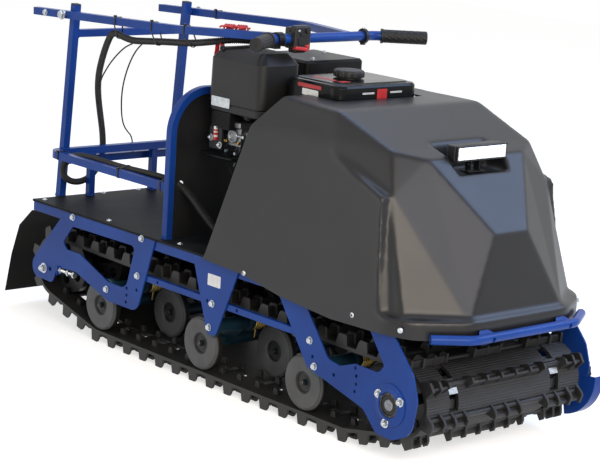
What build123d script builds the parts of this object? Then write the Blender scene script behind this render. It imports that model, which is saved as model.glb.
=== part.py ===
from build123d import *
import math
import os

os.makedirs("parts", exist_ok=True)

# A walk-behind tracked snow tug: one wide rubber track under a steel deck, an open single-cylinder
# engine under a faceted moulded hood, and a towing handle that folds forward over the engine.
# Millimetres. X to the vehicle's left, -Y forwards, Z up, the ground at Z = 0.
# Working frame: X = 0 on the centre plane and Y = 0 at the drive axle. Every piece is moved
# back by MID_Y when it is written, so that the origin lies under the middle of the whole vehicle.

# Track and running gear
TRACK_WIDE = 500.0          # rubber track, across
BELT_THICK = 8.0            # rubber belt without lugs
LUG_TALL = 26.0             # lug height over the belt
LUG_PITCH = 69.0            # lug rows, wished spacing along the belt
LUG_BASE = 26.0             # lug length at its foot
LUG_TIP = 15.0              # lug length at its tip
DRIVE_R = 72.0              # belt's inner face round the drive sprockets
IDLER_R = 76.0              # belt's inner face round the rear idler wheels
DRIVE_Z = 143.0             # drive axle above ground
IDLER_Y = 1355.0            # rear axle behind the drive axle
IDLER_Z = 162.0             # rear axle above ground
ROLLER_R = 67.5             # road rollers
ROLLER_WIDE = 20.0
BOGIE_YS = (253.0, 641.5, 1067.0)   # bogie pivot tubes, behind the drive axle
BOGIE_Z = 167.0             # bogie pivots above ground
OUTER_BACK = 80.0           # outer roller axle behind its bogie pivot
INNER_AHEAD = 66.0          # inner roller axle ahead of its bogie pivot
OUTER_X = TRACK_WIDE / 2 - 14.0         # outer rollers, centre from the middle
INNER_X = TRACK_WIDE / 2 - 130.0        # inner rollers, centre from the middle
PIVOT_TUBE = 34.0
AXLE_TUBE = 30.0
AXLE_D = 24.0               # drive and idler axles
RING_D = 56.0               # ring of the front bearings
BELT_GAP = 0.3              # seat between wheels and belt

# Deck and side plates
DECK_TOP = 340.0            # top of the black deck board
DECK_BOARD = 6.0
RAIL = 25.0                 # square tube of the deck frame
SIDE_ROOM = 31.0            # track edge to the outer face of the side rails
DECK_HALF = TRACK_WIDE / 2 + SIDE_ROOM
DECK_REAR = 1420.0
DECK_FRONT = -60.0
RAIL_FRONT = -2.0           # front end of the side rails
STUB_X = 152.0              # stubs that carry the front tube
FRONT_HALF = DECK_HALF - 81.0
BOARD_FRONT = 40.0
PLATE = 4.0                 # side plates bolted to the rails
SLIDE_Z = 230.0             # long lower bar between the side plates
SLIDE_TALL = 16.0
SLIDE_THICK = 14.0
BOLT_GAP = 0.3
HITCH_Y = 1458.0            # hole of the hitch plate behind the frame
HITCH_Z = (316.0, 324.0)
HITCH_BORE = 13.0

# Handle posts, rack ring and hoop
TUBE = 20.0                 # square tube of posts, ring, hoop and arms
POST_X = 187.0
POST_FOOT_Y = 1433.0
POST_TOP_Y = 1391.0
POST_TOP = 865.0
UPPER_CROSS = 788.0         # cross tubes between the posts
LOWER_CROSS = 438.0
RING_Z = 467.0              # ring tube centre
RING_HALF = 246.0
RING_REAR = 1397.0
STAY_X = (-113.0, 98.0)     # short stays under the ring's rear branch
HOOP_Y = 862.0
HOOP_HALF = 256.0
HOOP_TOP = 712.0
HOOP_BEND = 105.0
PANEL = 5.0

# Folding handle
PIVOT_Y = 1393.0
PIVOT_Z = 839.0
PIVOT_BOLT = 12.0
ARM_X = 212.0
ARM_TAIL_Y = 1538.0
ARM_BEND_Y = 915.0
BAR_Y = 611.0
BAR_D = 24.0
BAR_MEET_X = 90.0           # arms meet the bar here
BAR_STRAIGHT = 170.0        # straight half length of the bar
BAR_END_X = 276.0
BAR_END_Y = 534.0
GRIP_D = 33.0

# Engine: crank centre, slant of the cylinder, and the housings round it
CRANK_Y = 470.0
CRANK_Z = 470.0
SLANT = 25.0                # cylinder above the horizontal, degrees
CASE = (-95.0, 130.0, 392.0, 620.0)     # crankcase x0, x1, y0, y1
CASE_TOP = 575.0
FOOT_TALL = 12.0
BARREL_WIDE = 170.0
BARREL_X = -35.0
BARREL_SIDE = BARREL_X - BARREL_WIDE / 2                # face that the carburettor is bolted to
CARB = (BARREL_SIDE - 30.0, 722.0)                      # carburettor's middle x, y
FIN_PITCH = 11.0
FIN_THICK = 3.5
AIR_BOX = (-198.0, -66.0, 602.0, 806.0, 676.0, 832.0)   # x0, x1, y0, y1, z0, z1
TANK = (-138.0, 128.0, 392.0, 590.0, 690.0, 788.0)
HOOD_CLEAR = 5.0            # hood to tank
BAR_OVER = 38.0             # cross bar over the air box
BAR_Z = AIR_BOX[5] + BAR_OVER
MUFFLER = (-10.0, 182.0, 652.0, 842.0, 640.0, 806.0)
CAP_D = 76.0
CAP_AT = (-14.0, 494.0)
LAMP = (-81.0, 81.0, 50.0, 92.0, 662.0, 698.0)
LAMP_RECESS = (-88.0, 88.0, 37.0, 134.0, 631.0)         # x0, x1, y0, y1, floor z

# Cords: the corrugated loom and two thin cables, as their routes' points (x, y, z)
LOOM_D = 18.0
CABLE_D = 4.0
ARM_LOOM_ROUTE = [
    (-72, 631.3, 852), (-72, 668, 852), (-82, 705, 849), (-106, 747, 847), (-138, 790, 846), (-168, 838, 835), (-182, 900, 824),
    (-191, 966, 819), (-198, 1020, 814), (-202, 1066, 809), (-206, 1120, 804), (-206, 1165, 813),
]
LOOM_ROUTE = [
    (-206, 1165.5, 813.1), (-206, 1195, 819), (-194, 1236, 780), (-178, 1277, 733), (-160, 1314, 687),
    (-142, 1340, 641), (-118, 1363, 590), (-90, 1388, 537), (-64, 1416, 496), (-45, 1440, 461),
    (-43, 1451, 424), (-64, 1445, 394), (-100, 1430, 379), (-141, 1415, 375), (-181, 1402, 384),
    (-211, 1390, 407), (-222, 1371, 441), (-225.5, 1330, 470), (-225, 1250, 480), (-224, 1120, 476),
    (-224, 990, 481), (-223, 905, 481), (-222, 860, 474), (-217, 815, 448), (-215, 768, 414),
    (-209, 715, 377), (-202, 665, 360), (-202, 620.3, 360),
]
THROTTLE_ROUTE = [
    (-199, 1118, 795.5), (-192, 1150, 786), (-184, 1192, 764), (-177, 1236, 733), (-170, 1268, 706), (-163, 1298, 678),
    (-151.5, 1319, 655),
]
LEAD_ROUTE = [
    (-196, 1082, 798), (-187, 1108, 786), (-173, 1146, 762), (-160, 1180, 733), (-147, 1212, 699), (-133, 1241, 662),
    (-116, 1267, 624), (-95, 1293, 587), (-69, 1322, 556), (-38, 1353, 532), (-5, 1383, 513), (27, 1409, 496),
    (50, 1432, 473), (66, 1448, 448), (84, 1449, 436), (110, 1438, 430), (139.7, 1438, 430),
]
LOOM_HOLE = 23.0            # hole of the hoop's panel
JUNCTION = (-235.0, -165.0, 560.0, 620.0, 36.0)         # x0, x1, y0, y1, height on the deck
PLUG = (140.0, 172.0, 19.0, 16.0)                       # lead's plug on the cross tube: x0, x1, depth, height
LEVER_WIDE = 12.0
LEVER_THICK = 7.0

# Chain drive on the left side
CHAIN_OUT = 4.3             # chain's middle outside the side plates
CHAIN_X = DECK_HALF + PLATE + CHAIN_OUT
CHAIN_WIDE = 6.0
BIG_SPROCKET_R = 78.0
SMALL_SPROCKET_R = 27.0
JACK_Y = 128.0
JACK_Z = 372.0

# Ends of the vehicle, for its middle
BUMPER_D = 22.0
BUMPER_Y = -125.0
TAB_DROP = 14.5             # underside of its tabs below its centre
FLAP_REAR = 1595.0
MID_Y = (BUMPER_Y - BUMPER_D / 2 + FLAP_REAR) / 2

ROLLER_Z = LUG_TALL + BELT_THICK + ROLLER_R
RAIL_Z1 = DECK_TOP - DECK_BOARD
RAIL_Z0 = RAIL_Z1 - RAIL
PLATE_X1 = DECK_HALF + PLATE


def save(name, *shapes):
    """Write one named piece, moved into the vehicle's frame."""
    solids = []
    for shape in shapes:
        solids += shape.solids()
    piece = Compound(children=solids) if len(solids) > 1 else solids[0]
    piece = Pos(0, -MID_Y, 0) * piece
    piece.label = name
    export_step(piece, f"parts/{name}.step")


def block(x0, x1, y0, y1, z0, z1):
    """A box between two corners."""
    return Pos((x0 + x1) / 2, (y0 + y1) / 2, (z0 + z1) / 2) * Box(x1 - x0, y1 - y0, z1 - z0)


def rod_x(y, z, diameter, x0, x1):
    """A round bar along X."""
    return Pos((x0 + x1) / 2, y, z) * Cylinder(diameter / 2, x1 - x0, rotation=(0, 90, 0))


def plate_yz(corners, x0, x1):
    """A plate cut to an outline in the side plane; each corner is (y, z, radius)."""
    points = [(y, z) for y, z, _ in corners]
    outline = FilletPolyline(*points, radius=[r for _, _, r in corners], close=True)
    face = Plane.YZ * make_face(outline)
    return Pos(x0, 0, 0) * extrude(face, amount=x1 - x0, dir=(1, 0, 0))


def prism_xy(corners, z0, z1):
    """A plate cut to an outline in plan; each corner is (x, y, radius)."""
    points = [(x, y) for x, y, _ in corners]
    outline = FilletPolyline(*points, radius=[r for _, _, r in corners], close=True)
    return Pos(0, 0, z0) * extrude(make_face(outline), amount=z1 - z0, dir=(0, 0, 1))


def beam(start, end, wide, deep):
    """A straight square bar in the side plane, wide across X."""
    along = Vector(*end) - Vector(*start)
    plane = Plane(origin=start, x_dir=(1, 0, 0), z_dir=along)
    return extrude(plane * Rectangle(wide, deep), amount=along.length)


def bent_tube(points, radii, section, across=(1, 0, 0)):
    """A section swept along straight runs with round corners."""
    path = FilletPolyline(*points, radius=radii)
    plane = Plane(origin=path @ 0, x_dir=across, z_dir=path % 0)
    return sweep(plane * section, path=path)


def both_sides(shape):
    """The shape and its mirror image across the centre plane."""
    return [shape, mirror(shape, about=Plane.YZ)]


# The belt runs round four circles, seen from the side, and its lugs stand out of it.
# Columns: y, z, radius of the belt's inner face.
BELT_ROUND = [
    (0.0, DRIVE_Z, DRIVE_R),
    (IDLER_Y, IDLER_Z, IDLER_R),
    (BOGIE_YS[-1] + OUTER_BACK, ROLLER_Z, ROLLER_R),
    (BOGIE_YS[0] - INNER_AHEAD, ROLLER_Z, ROLLER_R),
]


def belt_runs():
    """Straight runs of the belt: from circle, to circle, outward normal's angle."""
    runs = []
    for i, (y0, z0, r0) in enumerate(BELT_ROUND):
        y1, z1, r1 = BELT_ROUND[(i + 1) % len(BELT_ROUND)]
        heading = math.atan2(z1 - z0, y1 - y0)
        lean = math.acos((r0 - r1) / math.hypot(y1 - y0, z1 - z0))
        runs.append(heading + lean)
    return runs


def belt_path():
    """The loop as pieces: (kind, length, data) at the belt's inner face plus half its thickness."""
    normals = belt_runs()
    pieces = []
    for i, (y0, z0, r0) in enumerate(BELT_ROUND):
        y1, z1, r1 = BELT_ROUND[(i + 1) % len(BELT_ROUND)]
        length = math.sqrt((y1 - y0) ** 2 + (z1 - z0) ** 2 - (r0 - r1) ** 2)
        pieces.append(("line", length, (y0, z0, r0, normals[i])))
        turn = (normals[i] - normals[(i + 1) % len(BELT_ROUND)]) % (2 * math.pi)
        pieces.append(("arc", turn * (r1 + BELT_THICK / 2), (y1, z1, r1, normals[i], turn)))
    return pieces


def on_belt(pieces, s, height):
    """The point at distance s along the loop and a height over the belt's inner face."""
    s %= sum(length for _, length, _ in pieces)
    for kind, length, data in pieces:
        if s <= length:
            break
        s -= length
    if kind == "line":
        y, z, r, normal = data
        away = r + height
        return (y + away * math.cos(normal) + s * math.sin(normal),
                z + away * math.sin(normal) - s * math.cos(normal))
    y, z, r, normal, turn = data
    angle = normal - turn * s / length
    return (y + (r + height) * math.cos(angle), z + (r + height) * math.sin(angle))


def belt_face(height):
    """The loop's filled outline at a height over the belt's inner face."""
    normals = belt_runs()
    edges = []
    count = len(BELT_ROUND)
    for i, (y, z, r) in enumerate(BELT_ROUND):
        away = r + height
        enter, leave = normals[i - 1], normals[i]
        half = enter - ((enter - leave) % (2 * math.pi)) / 2
        first, middle, last = [
            (y + away * math.cos(a), z + away * math.sin(a)) for a in (enter, half, leave)]
        edges.append(ThreePointArc(first, middle, last))
        y1, z1, r1 = BELT_ROUND[(i + 1) % count]
        nxt = (y1 + (r1 + height) * math.cos(leave), z1 + (r1 + height) * math.sin(leave))
        edges.append(Line(last, nxt))
    return make_face(Wire(edges))


def track():
    """One fixed loop of belt with its rows of lugs."""
    half = TRACK_WIDE / 2
    ring = belt_face(BELT_THICK) - belt_face(0)
    belt = Pos(-half, 0, 0) * extrude(Plane.YZ * ring, amount=TRACK_WIDE, dir=(1, 0, 0))
    pieces = belt_path()
    total = sum(length for _, length, _ in pieces)
    rows = round(total / LUG_PITCH / 2) * 2
    # Lug groups across the belt, as (from, to): wide paddles and side groups take turns.
    patterns = (((-half, -188), (-122, 122), (188, half)), ((-half, -128), (-46, 46), (128, half)))
    lugs = []
    for row in range(rows):
        s = total * row / rows
        foot, tip = BELT_THICK - 1, BELT_THICK + LUG_TALL
        corners = [on_belt(pieces, s - LUG_BASE / 2, foot), on_belt(pieces, s - LUG_TIP / 2, tip),
                   on_belt(pieces, s + LUG_TIP / 2, tip), on_belt(pieces, s + LUG_BASE / 2, foot)]
        face = Plane.YZ * make_face(Polyline(*corners, close=True))
        for x0, x1 in patterns[row % 2]:
            lugs.append(Pos(x0, 0, 0) * extrude(face, amount=x1 - x0, dir=(1, 0, 0)))
    return belt.fuse(*lugs)


def wheel(y, z, radius, wide, x):
    """A dished plastic wheel with a hub."""
    body = rod_x(y, z, 2 * radius, x - wide / 2, x + wide / 2)
    for x0, x1 in ((x - wide / 2 - 1, x - wide / 2 + 5), (x + wide / 2 - 5, x + wide / 2 + 1)):
        body -= rod_x(y, z, 1.12 * radius, x0, x1)
    return body + rod_x(y, z, 0.6 * radius, x - wide / 2, x + wide / 2)


def bogie(pivot_y):
    """Pivot tube, rocker arms and the two roller axles of one bogie."""
    outer_y, inner_y = pivot_y + OUTER_BACK, pivot_y - INNER_AHEAD
    frame = rod_x(pivot_y, BOGIE_Z, PIVOT_TUBE, -DECK_HALF + BOLT_GAP, DECK_HALF - BOLT_GAP)
    frame += rod_x(outer_y, ROLLER_Z, AXLE_TUBE, -OUTER_X + ROLLER_WIDE / 2, OUTER_X - ROLLER_WIDE / 2)
    frame += rod_x(inner_y, ROLLER_Z, AXLE_TUBE, -INNER_X + ROLLER_WIDE / 2, INNER_X - ROLLER_WIDE / 2)
    frame += rod_x(outer_y, ROLLER_Z, 0.5 * AXLE_TUBE, -OUTER_X - ROLLER_WIDE / 2, OUTER_X + ROLLER_WIDE / 2)
    frame += rod_x(inner_y, ROLLER_Z, 0.5 * AXLE_TUBE, -INNER_X - ROLLER_WIDE / 2, INNER_X + ROLLER_WIDE / 2)
    # Columns: arm x, axle y
    for x, y in ((170.0, outer_y), (70.0, inner_y)):
        for side in (-1, 1):
            arm = beam((side * x, pivot_y, BOGIE_Z), (side * x, y, ROLLER_Z), 8, 30)
            frame += arm
    wheels = []
    for x in (OUTER_X, INNER_X):
        y = outer_y if x == OUTER_X else inner_y
        for side in (-1, 1):
            wheels.append(wheel(y, ROLLER_Z, ROLLER_R - BELT_GAP, ROLLER_WIDE, side * x))
    bores = [rod_x(outer_y, ROLLER_Z, 0.5 * AXLE_TUBE + 2 * BOLT_GAP, -300, 300),
             rod_x(inner_y, ROLLER_Z, 0.5 * AXLE_TUBE + 2 * BOLT_GAP, -300, 300)]
    wheels = [w - bores[0] - bores[1] for w in wheels]
    return frame, wheels


# Side plates, outlines as (y, z, corner radius).
REAR_PLATE = [(1236, RAIL_Z1, 0), (1266, RAIL_Z1 - 2, 30), (1396, 192, 30), (1418, 158, 30), (1392, 132, 20),
              (1314, 130, 16), (1292, 178, 22), (1208, 183, 20), (1062, 138, 30), (934, 138, 34),
              (872, RAIL_Z1, 0)]
REAR_WINDOW = [(1228, 301, 8), (1270, 251, 8), (1252, 234, 10), (1192, 234, 12), (1062, 187, 25),
               (984, 187, 30), (953, 304, 12)]
MID_PLATE = [(718, RAIL_Z1, 0), (538, RAIL_Z1, 0), (616, 150, 16), (648, 150, 16)]
FRONT_PLATE = [(413, RAIL_Z1, 0), (321, RAIL_Z1, 0), (210, 196, 30), (168, 190, 12), (120, 207, 12),
               (42, 206, 20), (26, 226, 6), (109, RAIL_Z1, 0), (32, RAIL_Z1, 0), (-66, 226, 40),
               (-84, 172, 40), (-72, 92, 50), (-16, 66, 30), (38, 67, 26), (84, 112, 30), (279, 160, 12)]


def side_plates(outline, x0=DECK_HALF, window=None):
    """One plate on the +X side."""
    plate = plate_yz(outline, x0, x0 + PLATE)
    if window:
        plate -= plate_yz(window, x0 - 1, x0 + PLATE + 1)
    return plate - rod_x(0, DRIVE_Z, RING_D + 2 * BOLT_GAP, x0 - 1, x0 + PLATE + 1)


def deck_frame():
    """Welded frame of square tube with its cross members."""
    inner = DECK_HALF - RAIL
    frame = block(-DECK_HALF, -inner, RAIL_FRONT, DECK_REAR, RAIL_Z0, RAIL_Z1)
    frame += block(inner, DECK_HALF, RAIL_FRONT, DECK_REAR, RAIL_Z0, RAIL_Z1)
    for y in (RAIL_FRONT, 300.0, 700.0, 1080.0, DECK_REAR - RAIL):
        frame += block(-inner, inner, y, y + RAIL, RAIL_Z0, RAIL_Z1)
    frame += block(-FRONT_HALF, FRONT_HALF, DECK_FRONT, DECK_FRONT + RAIL, RAIL_Z0, RAIL_Z1)
    for x in (-STUB_X, STUB_X):
        frame += block(x - RAIL / 2, x + RAIL / 2, DECK_FRONT, RAIL_FRONT, RAIL_Z0, RAIL_Z1)
    hitch = prism_xy([(-45, DECK_REAR, 0), (45, DECK_REAR, 0), (24, HITCH_Y + 22, 18), (-24, HITCH_Y + 22, 18)],
                     *HITCH_Z)
    return frame + hitch - Pos(0, HITCH_Y, HITCH_Z[0]) * Cylinder(HITCH_BORE / 2, 40)


def posts():
    """Two leaning posts with their cross tubes."""
    shapes = []
    lean = (POST_TOP_Y - POST_FOOT_Y) / (POST_TOP - RAIL_Z0)
    frame = None
    for side in (-1, 1):
        post = beam((side * POST_X, POST_FOOT_Y, RAIL_Z0), (side * POST_X, POST_TOP_Y, POST_TOP), TUBE, TUBE)
        frame = post if frame is None else frame + post
    for z in (UPPER_CROSS, LOWER_CROSS):
        y = POST_FOOT_Y + lean * (z - RAIL_Z0)
        frame += block(-POST_X, POST_X, y - TUBE / 2, y + TUBE / 2, z - TUBE / 2, z + TUBE / 2)
    return frame


def rack_ring():
    """The U of square tube behind the hoop, with its two short stays."""
    section = Rectangle(TUBE, TUBE)
    start_y = HOOP_Y + TUBE / 2 + BOLT_GAP
    path = [(-RING_HALF, start_y, RING_Z), (-RING_HALF, RING_REAR, RING_Z),
            (RING_HALF, RING_REAR, RING_Z), (RING_HALF, start_y, RING_Z)]
    ring = bent_tube(path, [35, 35], section, across=(0, 0, 1))
    for x in STAY_X:
        ring += block(x - 9, x + 9, RING_REAR - 9, RING_REAR + 9, DECK_TOP, RING_Z)
    return ring


def hoop():
    """Inverted U behind the engine."""
    z0 = DECK_TOP
    path = [(-HOOP_HALF, HOOP_Y, z0), (-HOOP_HALF, HOOP_Y, HOOP_TOP), (HOOP_HALF, HOOP_Y, HOOP_TOP),
            (HOOP_HALF, HOOP_Y, z0)]
    tube = bent_tube(path, [HOOP_BEND, HOOP_BEND], Rectangle(TUBE, TUBE))
    inner = HOOP_HALF - TUBE / 2
    top = HOOP_TOP - TUBE / 2
    bend = HOOP_BEND - TUBE / 2
    face = FilletPolyline((-inner, z0), (-inner, top), (inner, top), (inner, z0),
                          radius=[0, bend, bend, 0], close=True)
    panel = extrude(Plane.XZ * make_face(face), amount=PANEL, dir=(0, 1, 0))
    return tube, Pos(0, HOOP_Y - PANEL / 2, 0) * panel


def handle():
    """Two bent arms, the cross bar with swept ends."""
    frame = None
    for side in (-1, 1):
        path = [(side * ARM_X, ARM_TAIL_Y, PIVOT_Z - 6), (side * ARM_X, ARM_BEND_Y, PIVOT_Z + 19),
                (side * BAR_MEET_X, BAR_Y, BAR_Z)]
        arm = bent_tube(path, [180], Rectangle(TUBE, TUBE))
        frame = arm if frame is None else frame + arm
    ends = [(-BAR_END_X, BAR_END_Y, BAR_Z), (-BAR_STRAIGHT, BAR_Y, BAR_Z),
            (BAR_STRAIGHT, BAR_Y, BAR_Z), (BAR_END_X, BAR_END_Y, BAR_Z)]
    frame += bent_tube(ends, [50, 50], Circle(BAR_D / 2), across=(0, 0, 1))
    return frame - rod_x(PIVOT_Y, PIVOT_Z, PIVOT_BOLT + 0.15, -300, 300)


def pivot_bolt():
    """Bolt of one arm's pivot, fixed in the post."""
    bolt = rod_x(PIVOT_Y, PIVOT_Z, PIVOT_BOLT, POST_X + TUBE / 2, ARM_X + TUBE / 2 + 8)
    return bolt + rod_x(PIVOT_Y, PIVOT_Z, 20, ARM_X + TUBE / 2 + 1, ARM_X + TUBE / 2 + 8)


def brake_lever():
    """Lever on its clamp at the right end of the bar."""
    x0, x1 = -BAR_STRAIGHT + 18, -BAR_STRAIGHT + 36
    clamp = rod_x(BAR_Y, BAR_Z, BAR_D + 10, x0, x1)
    clamp += block(x0, x1, BAR_Y, BAR_Y + 34, BAR_Z - 24, BAR_Z - 8)
    clamp -= rod_x(BAR_Y, BAR_Z, BAR_D + 0.4, -300, 0)
    root = (x1 - 6, BAR_Y + 24, BAR_Z - 18)
    tip = (-BAR_END_X + 5, BAR_Y + 50, BAR_Z - 25)
    along = (Vector(*tip) - Vector(*root)).normalized()
    plane = Plane(origin=root, x_dir=(0, 0, 1), z_dir=along)
    blade = extrude(plane * Rectangle(LEVER_THICK, LEVER_WIDE), amount=(Vector(*tip) - Vector(*root)).length)
    return clamp + blade + Pos(*tip) * Sphere(8)


def cord(name, route, diameter):
    """A tube along a route of straight runs and tangent arcs. Prints its arcs' radii."""
    points = [Vector(*p) for p in route]
    radii = []
    for a, b, c in zip(points, points[1:], points[2:]):
        half = math.radians((b - a).get_angle(c - b)) / 2
        radii.append(0.45 * min((b - a).length, (c - b).length) / math.tan(half))
    tube = bent_tube(route, radii, Circle(diameter / 2), across=(points[1] - points[0]).cross(Vector(0.3, 0.2, 1)))
    path = FilletPolyline(*route, radius=radii)
    section = math.pi * diameter * diameter / 4
    print(name, "length", round(path.length), "volume ratio", round(tube.volume / (section * path.length), 4),
          "radii", [round(r) for r in radii])
    return tube


def grip(side):
    """A rubber sleeve over one swept end of the bar."""
    tip = Vector(side * BAR_END_X, BAR_END_Y, BAR_Z)
    root = Vector(side * BAR_STRAIGHT, BAR_Y, BAR_Z)
    along = (tip - root).normalized()
    start = root + along * 22
    length = (tip - start).length + 3
    plane = Plane(origin=start, x_dir=(0, 0, 1), z_dir=along)
    sleeve = extrude(plane * Circle(GRIP_D / 2), amount=length)
    sleeve += extrude(plane * Circle(GRIP_D / 2 + 3), amount=4)
    return sleeve - extrude(plane * Circle(BAR_D / 2 + 0.1), amount=length - 3)


# Moulded hood: corners of its outer faces as (distance inside its widest half, y, z).
HOOD = {
    "rear_foot": (4.5, 655.0, 345.0),
    "rear_waist": (40.5, 552.0, 676.0),
    "rear_top": (86.5, 490.0, 754.0),
    "top_bend": (74.5, 290.0, 752.0),
    "waist_bend": (38.5, 267.0, 677.0),
    "brow": (82.5, 112.0, 686.0),
    "corner": (55.5, 72.0, 595.0),
    "waist_front": (24.5, 76.0, 592.0),
    "foot_front": (0.5, 40.0, 335.0),
    "cheek_foot": (32.5, -10.0, 335.0),
    "groove_top": (46.5, 77.0, 592.0),
    "groove_foot": (23.5, 22.0, 335.0),
    "lamp_side": (151.5, 67.0, 671.0),
    "nose_top": (251.5, -58.0, 517.0),
    "nose_foot": (155.5, -96.0, 335.0),
}
HOOD_WALL = 4.0
HOOD_HALF = DECK_HALF + 23.5            # widest half width
# Skirt under the hood: its plan corners (distance inside the widest half, y), its lower edge (y, z).
SKIRT_TOP = 337.0
SKIRT_PLAN = [(0.0, 655.0), (0.0, 10.0), (32.5, -40.0), (81.5, -70.0), (149.5, -110.0)]
SKIRT_EDGE = [(656.0, 336.0), (503.0, 331.0), (366.0, 309.0), (191.0, 297.0), (10.0, 302.0), (-40.0, 298.0),
              (-120.0, 296.0)]


def hood_corner(name, side, inset=0.0):
    """A hood corner, moved inwards by inset for the inner skin."""
    inside, y, z = HOOD[name]
    half = HOOD_HALF - inside
    if not inset:
        return (side * half, y, z)
    foot = name.endswith("foot") or name == "foot_front"
    rear = name.startswith("rear")
    y_in = y + 2 if rear else y + inset * (1.6 if inside > 54.5 else 0.6)
    return (side * (half - inset), y_in, z - (1 if foot else inset * 1.2))


def hood_skin(inset):
    """A closed body inside the hood's outer or inner faces, open ends flat."""
    half_faces = [
        ("rear_foot", "foot_front", "waist_front", "waist_bend"),
        ("rear_foot", "waist_bend", "rear_waist"),
        ("rear_waist", "waist_bend", "top_bend", "rear_top"),
        ("waist_bend", "waist_front", "corner"),
        ("waist_bend", "corner", "brow", "top_bend"),
        ("waist_front", "foot_front", "groove_foot", "groove_top"),
        ("waist_front", "groove_top", "corner"),
        ("groove_top", "groove_foot", "cheek_foot", "corner"),
        ("cheek_foot", "nose_foot", "corner"),
        ("corner", "nose_foot", "lamp_side"),
        ("corner", "lamp_side", "brow"),
        ("lamp_side", "nose_foot", "nose_top"),
    ]
    faces = []
    for side in (-1, 1):
        for names in half_faces:
            points = [hood_corner(n, side, inset) for n in names]
            for k in range(1, len(points) - 1):
                faces.append(Face(Wire.make_polygon([points[0], points[k], points[k + 1]], close=True)))
    strip = ["rear_foot", "rear_waist", "rear_top", "top_bend", "brow", "lamp_side", "nose_top",
             "nose_foot", "cheek_foot", "groove_foot", "foot_front", "rear_foot"]
    for name, following in zip(strip, strip[1:]):
        corners = [hood_corner(name, -1, inset), hood_corner(name, 1, inset),
                   hood_corner(following, 1, inset), hood_corner(following, -1, inset)]
        for trio in ((0, 1, 2), (0, 2, 3)):
            faces.append(Face(Wire.make_polygon([corners[t] for t in trio], close=True)))
    return Solid(Shell(faces))


def hood():
    """The hood as a thin moulded shell, open below and behind."""
    outer = hood_skin(0.0)
    inner = hood_skin(HOOD_WALL)
    opening = HOOD_HALF - 24.5
    rear = HOOD["rear_foot"][1]
    inner = inner + block(-opening, opening, rear - 15, rear + 5, DECK_TOP, DECK_TOP + 60)
    x0, x1, y0, y1, floor = LAMP_RECESS
    outer -= block(x0, x1, y0, y1, floor, 900)
    inner -= block(x0 - HOOD_WALL, x1 + HOOD_WALL, y0 - HOOD_WALL, y1 + HOOD_WALL, floor - HOOD_WALL, 900)
    shell = outer - inner - block(-400, 400, -200, 800, 300, SKIRT_TOP)
    shell += skirt(inner)
    cut = block(TANK[0] - HOOD_CLEAR, TANK[1] + HOOD_CLEAR, TANK[2] - HOOD_CLEAR, 700, 640, 900)
    return shell - cut


def skirt_prism(inset, z0, z1):
    """The skirt's plan as a prism, moved inwards by inset."""
    right = [(HOOD_HALF - inside - inset, y + (inset if y < 0 else 0), 0) for inside, y in SKIRT_PLAN]
    right[0] = (right[0][0], SKIRT_PLAN[0][1] + (0 if not inset else 1), 0)
    left = [(-x, y, r) for x, y, r in reversed(right)]
    return prism_xy(right + left, z0, z1)


def skirt(inner):
    """The lip that stands out round the hood's foot and hangs over the frame."""
    lip = skirt_prism(0, 280, SKIRT_TOP + HOOD_WALL) - skirt_prism(HOOD_WALL, 270, SKIRT_TOP)
    below = [(y, z, 0) for y, z in SKIRT_EDGE] + [(-120, 200, 0), (700, 200, 0), (700, 336, 0)]
    lip -= plate_yz(below, -400, 400)
    board = HOOD_HALF - 2 * HOOD_WALL - 0.5
    lip -= block(-board, board, SKIRT_PLAN[1][1], 700, 200, 400)
    return lip - (inner & block(-400, 400, -200, 656, SKIRT_TOP - 1, SKIRT_TOP + HOOD_WALL + 1))


def ring_wheel(y, z, radius, x, wide):
    """A spoked wheel with three round windows, on a hub."""
    body = rod_x(y, z, 2 * radius, x - wide / 2, x + wide / 2)
    for k in range(5):
        turn = math.radians(72 * k)
        body -= rod_x(y + 0.6 * radius * math.cos(turn), z + 0.6 * radius * math.sin(turn),
                      0.36 * radius, x - wide, x + wide)
    return body


def toothed(y, z, radius, teeth, x, wide, depth):
    """A sprocket: a disc with round gaps between its teeth."""
    body = rod_x(y, z, 2 * radius, x - wide / 2, x + wide / 2)
    for k in range(teeth):
        turn = 2 * math.pi * (k + 0.5) / teeth
        body -= rod_x(y + radius * math.cos(turn), z + radius * math.sin(turn), 2 * depth, x - wide, x + wide)
    return body


def drive_axle():
    """Drive shaft with its track sprockets."""
    shaft = rod_x(0, DRIVE_Z, AXLE_D, -DECK_HALF - PLATE - 2, CHAIN_X + 12)
    for x in (-165, 0, 165):
        shaft += toothed(0, DRIVE_Z, DRIVE_R - BELT_GAP, 8, x, 22, 14)
    return shaft


def idler_axle():
    """Rear shaft with the track's return wheels."""
    shaft = rod_x(IDLER_Y, IDLER_Z, AXLE_D - 8, -DECK_HALF + BOLT_GAP, DECK_HALF - BOLT_GAP)
    for x in (-190, -70, 70, 190):
        shaft += ring_wheel(IDLER_Y, IDLER_Z, IDLER_R - BELT_GAP, x, 20)
    return shaft


def axle_bearing(side):
    """Flanged bearing behind the front plate, its ring in the plate's hole."""
    x0, x1 = DECK_HALF - 12, DECK_HALF - BOLT_GAP
    flange = rod_x(0, DRIVE_Z, 98, x0, x1)
    flange += rod_x(0, DRIVE_Z, RING_D, x0, PLATE_X1 + 0.8)
    flange -= rod_x(0, DRIVE_Z, AXLE_D + 0.2, 200, 400)
    return flange if side > 0 else mirror(flange, about=Plane.YZ)


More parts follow.
